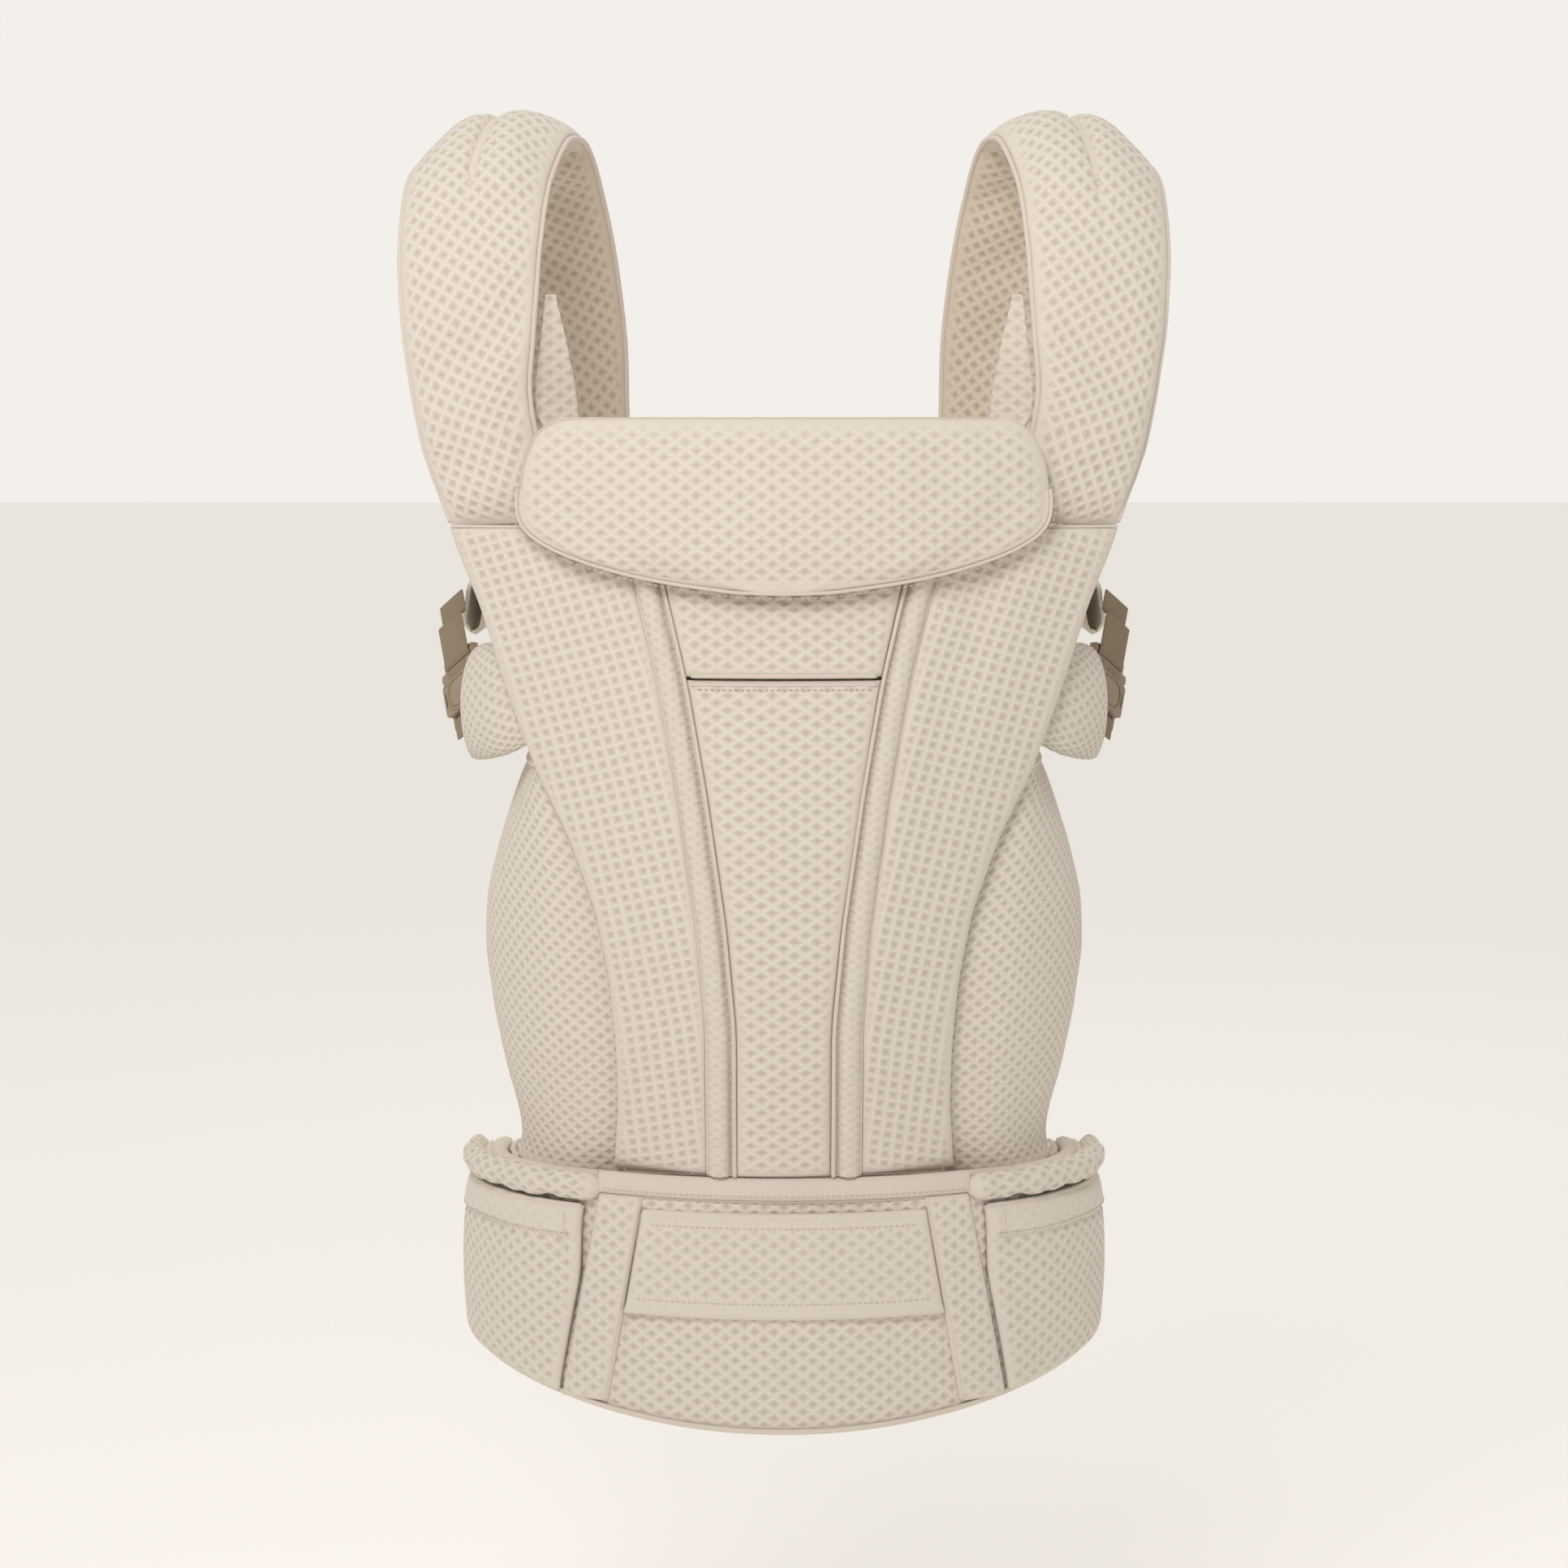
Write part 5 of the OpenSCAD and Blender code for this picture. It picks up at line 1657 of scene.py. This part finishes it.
def plug_details(name, f, b):
    """Three grip ridges across each face of a plug."""
    first = b["socket"] + RUN + 1.5
    y = np.linspace(-b["body"] * 0.3, b["body"] * 0.3, 20)
    made = []
    for side, g in both_faces(f):
        made += [slide(side, g, first + k * 1.5, y, b["thick"] / 2 - 0.5, 0.45, 6) for k in range(3)]
    return join(name, made)


def slot_shade_pads(name, f, b):
    """Painted shade of the slots moulded into a socket's faces on both sides of its loop, and of one across its
    webbing end: thin dark pads on the face stand in for the shade inside the openings.
    """
    middle, top = socket_middle(b), b["thick"] / 2
    slots = [(middle, edge * b["body"] * 0.435, b["socket"] * 0.2, 0.75) for edge in (-1, 1)]
    slots.append((9.3, 0, 0.6, b["body"] * 0.22))
    made = []
    for side, g in both_faces(f):
        made += [pad(side, g, *slot, top - 0.4, top + 0.02, PAINTED_SLOT_SHADE, 0.8, 0.02) for slot in slots]
    return join(name, made)


BUCKLES = (
    ("side_right", SIDE, SMALL, "root", "side_plug_right"),
    ("chest", CHEST, SMALL, "chest_strap", "chest_plug"),
    ("waist", WAIST, LARGE, "root", "waist_plug"),
)
for name, f, b, socket_body, plug_body in BUCKLES:
    parts = (
        (socket_details(name + "_socket_details", f, b), socket_body),
        (slot_shade_pads(name + "_slits", f, b), socket_body),
        (plug_details(name + "_plug_details", f, b), plug_body),
    )
    for obj, on in parts:
        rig.slot(obj, "buckle")
        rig.ride(obj, on)
        if name == "side_right":
            other = mirrored(obj, obj.name.replace("right", "left"))
            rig.slot(other, "buckle")
            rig.ride(other, on.replace("right", "left"))

HARD = ("socket", "plug", "prong", "sliders")
for node, obj in frame["nodes"].items():
    if any(word in node for word in HARD) and not obj.hide_render:
        obj.data.materials.clear()
        obj.data.materials.append(BUCKLE)
        bevel = obj.modifiers.new("edges", "BEVEL")
        bevel.width = 0.0014 if "waist" in node else 0.0012
        bevel.segments = 4
        bevel.limit_method = "ANGLE"
        bevel.angle_limit = math.radians(40)
        bevel.harden_normals = False
        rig.slot(obj, "buckle")

# ---------- what each soft piece is ----------

SLOTS = {"waffle_mesh": "waffle_fabric", "waffle_mesh_inside": "lining_fabric", "woven_webbing": "webbing"}
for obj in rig.pieces():
    if obj.parent is None and "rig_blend" not in obj:
        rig.ride(obj, "root")
    if "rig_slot" not in obj and obj.data.materials and obj.data.materials[0]:
        obj["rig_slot"] = SLOTS.get(obj.data.materials[0].name, "trim_fabric")


def sheet(name, width, length, share, on):
    """A cloth piece with its flat cut in millimetres; share is the part of the rectangle that is cut."""
    cut_area = width * length * share * MM * MM
    flat = (width * MM, length * MM)
    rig.sheet(bpy.data.objects[name], flat=flat, held="stretched", rests_on=[on], area=cut_area)


def padded(name, fill):
    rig.padded(bpy.data.objects[name], fill=fill)


# each cloth piece's width, length, share, and the piece that it rests on
CENTRE_SHEETS = (
    ("centre_fabric_lower", 112, 270, 0.6, "belt_fabric"),
    ("centre_fabric_upper", 170, 130, 0.85, "centre_fabric_lower"),
    ("pocket_bag_fabric", 98, 100, 0.9, "centre_fabric_lower"),
    ("seat_lining", 260, 420, 0.8, "centre_fabric_lower"),
    ("belt_lining_fabric", 500, 128, 0.9, "belt_padding"),
    ("belt_binding_fabric", 208, 14, 0.95, "belt_fabric"),
    ("belt_band_fabric", 176, 58, 0.95, "belt_fabric"),
)
for side in ("_left", "_right"):
    for name in ("strap_fabric", "wing_fabric", "roll_fabric", "tube_cover"):
        padded(name + side, 0.8)
    side_sheets = (
        ("v_fabric", 112, 352, 0.6, "centre_fabric_lower"),
        ("side_fabric", 172, 213, 0.9, "v_fabric" + side),
        ("v_fabric_top", 52, 50, 0.75, "v_fabric" + side),
        ("strap_inside", 80, 600, 0.9, "strap_fabric" + side),
        ("strip_fabric", 38, 116, 0.85, "belt_fabric"),
        ("gusset_fabric", 18, 106, 0.8, "strap_fabric" + side),
    )
    for name, *cut in side_sheets:
        sheet(name + side, *cut)
    padded("pouch_fabric" + side, 0.4)
for row in CENTRE_SHEETS:
    sheet(*row)
padded("belt_fabric", 0.6)
padded("belt_padding", 0.8)

# ---------- the studio ----------


FLOOR_Z, FLOOR_HALF = -0.3, 30.0


def floor(material):
    """A wide floor below the carrier."""
    corners = [(-FLOOR_HALF, -FLOOR_HALF, 0), (FLOOR_HALF, -FLOOR_HALF, 0)]
    corners += [(FLOOR_HALF, FLOOR_HALF, 0), (-FLOOR_HALF, FLOOR_HALF, 0)]
    mesh = bpy.data.meshes.new("floor")
    mesh.from_pydata(corners, [], [(0, 1, 2, 3)])
    obj = place_mesh("floor", mesh, material)
    obj.location = (0, 0, FLOOR_Z)
    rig.stage(obj)


def pale_floor():
    g = Graph("pale_floor")
    base = g.mix(g.times(g.noise(3.0, 2.0), 0.04), colour("EAE7E3"), colour("E9E4DC"))
    g.shader.inputs["Emission Color"].default_value = colour("F5F2ED")
    g.shader.inputs["Emission Strength"].default_value = 0.28
    return g.finish(base, g.bump(g.noise(180.0, 2.0), 0.0002), 0.95)


floor(pale_floor())


def aimed(name, data, place, aim):
    """A lamp or a camera that stands at a place and looks at a point."""
    obj = bpy.data.objects.new(name, data)
    obj.location = place
    obj.rotation_euler = (Vector(aim) - Vector(place)).to_track_quat("-Z", "Y").to_euler()
    bpy.context.scene.collection.objects.link(obj)
    return obj


def lamp(name, place, aim, size, power, tint=(1, 1, 1)):
    data = bpy.data.lights.new(name, "AREA")
    data.shape, data.size, data.energy, data.color = "DISK", size, power, tint
    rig.stage(aimed(name, data, place, aim))


lamp("key", (-0.35, -1.4, 1.45), (0, -0.1, 0.64), 0.7, 15.5, (1.0, 0.985, 0.975))
lamp("rear", (0.6, 2.4, 2.2), (0, 0, 0.36), 1.6, 5)

world = bpy.data.worlds.new("studio")
bpy.context.scene.world = world
world.use_nodes = True
sky = world.node_tree.nodes["Background"]
sky.inputs["Color"].default_value = colour("F5F2ED")
# the backdrop behind the carrier is bright, and the room behind the camera is dimmer
tree = world.node_tree
direction = tree.nodes.new("ShaderNodeTexCoord")
axes = tree.nodes.new("ShaderNodeSeparateXYZ")
dimmer = tree.nodes.new("ShaderNodeMapRange")
for name, value in (("From Min", -0.5), ("From Max", 0.3), ("To Min", 0.4), ("To Max", 0.98)):
    dimmer.inputs[name].default_value = value
tree.links.new(direction.outputs["Generated"], axes.inputs["Vector"])
tree.links.new(axes.outputs["Y"], dimmer.inputs["Value"])
tree.links.new(dimmer.outputs["Result"], sky.inputs["Strength"])
view_settings = bpy.context.scene.view_settings
view_settings.view_transform = "Standard"
view_settings.look = "None"

camera_data = bpy.data.cameras.new("camera")
camera_data.lens = 82.5
camera_data.sensor_width = 36
bpy.context.scene.camera = aimed("camera", camera_data, (0, -2.025, 0.555), (0, -0.125, 0.355))

shown_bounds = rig.bounds()
with open("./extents.json", "w") as out:
    json.dump({"cad": [list(c) for c in cad_bounds], "shown": [list(c) for c in shown_bounds]}, out)
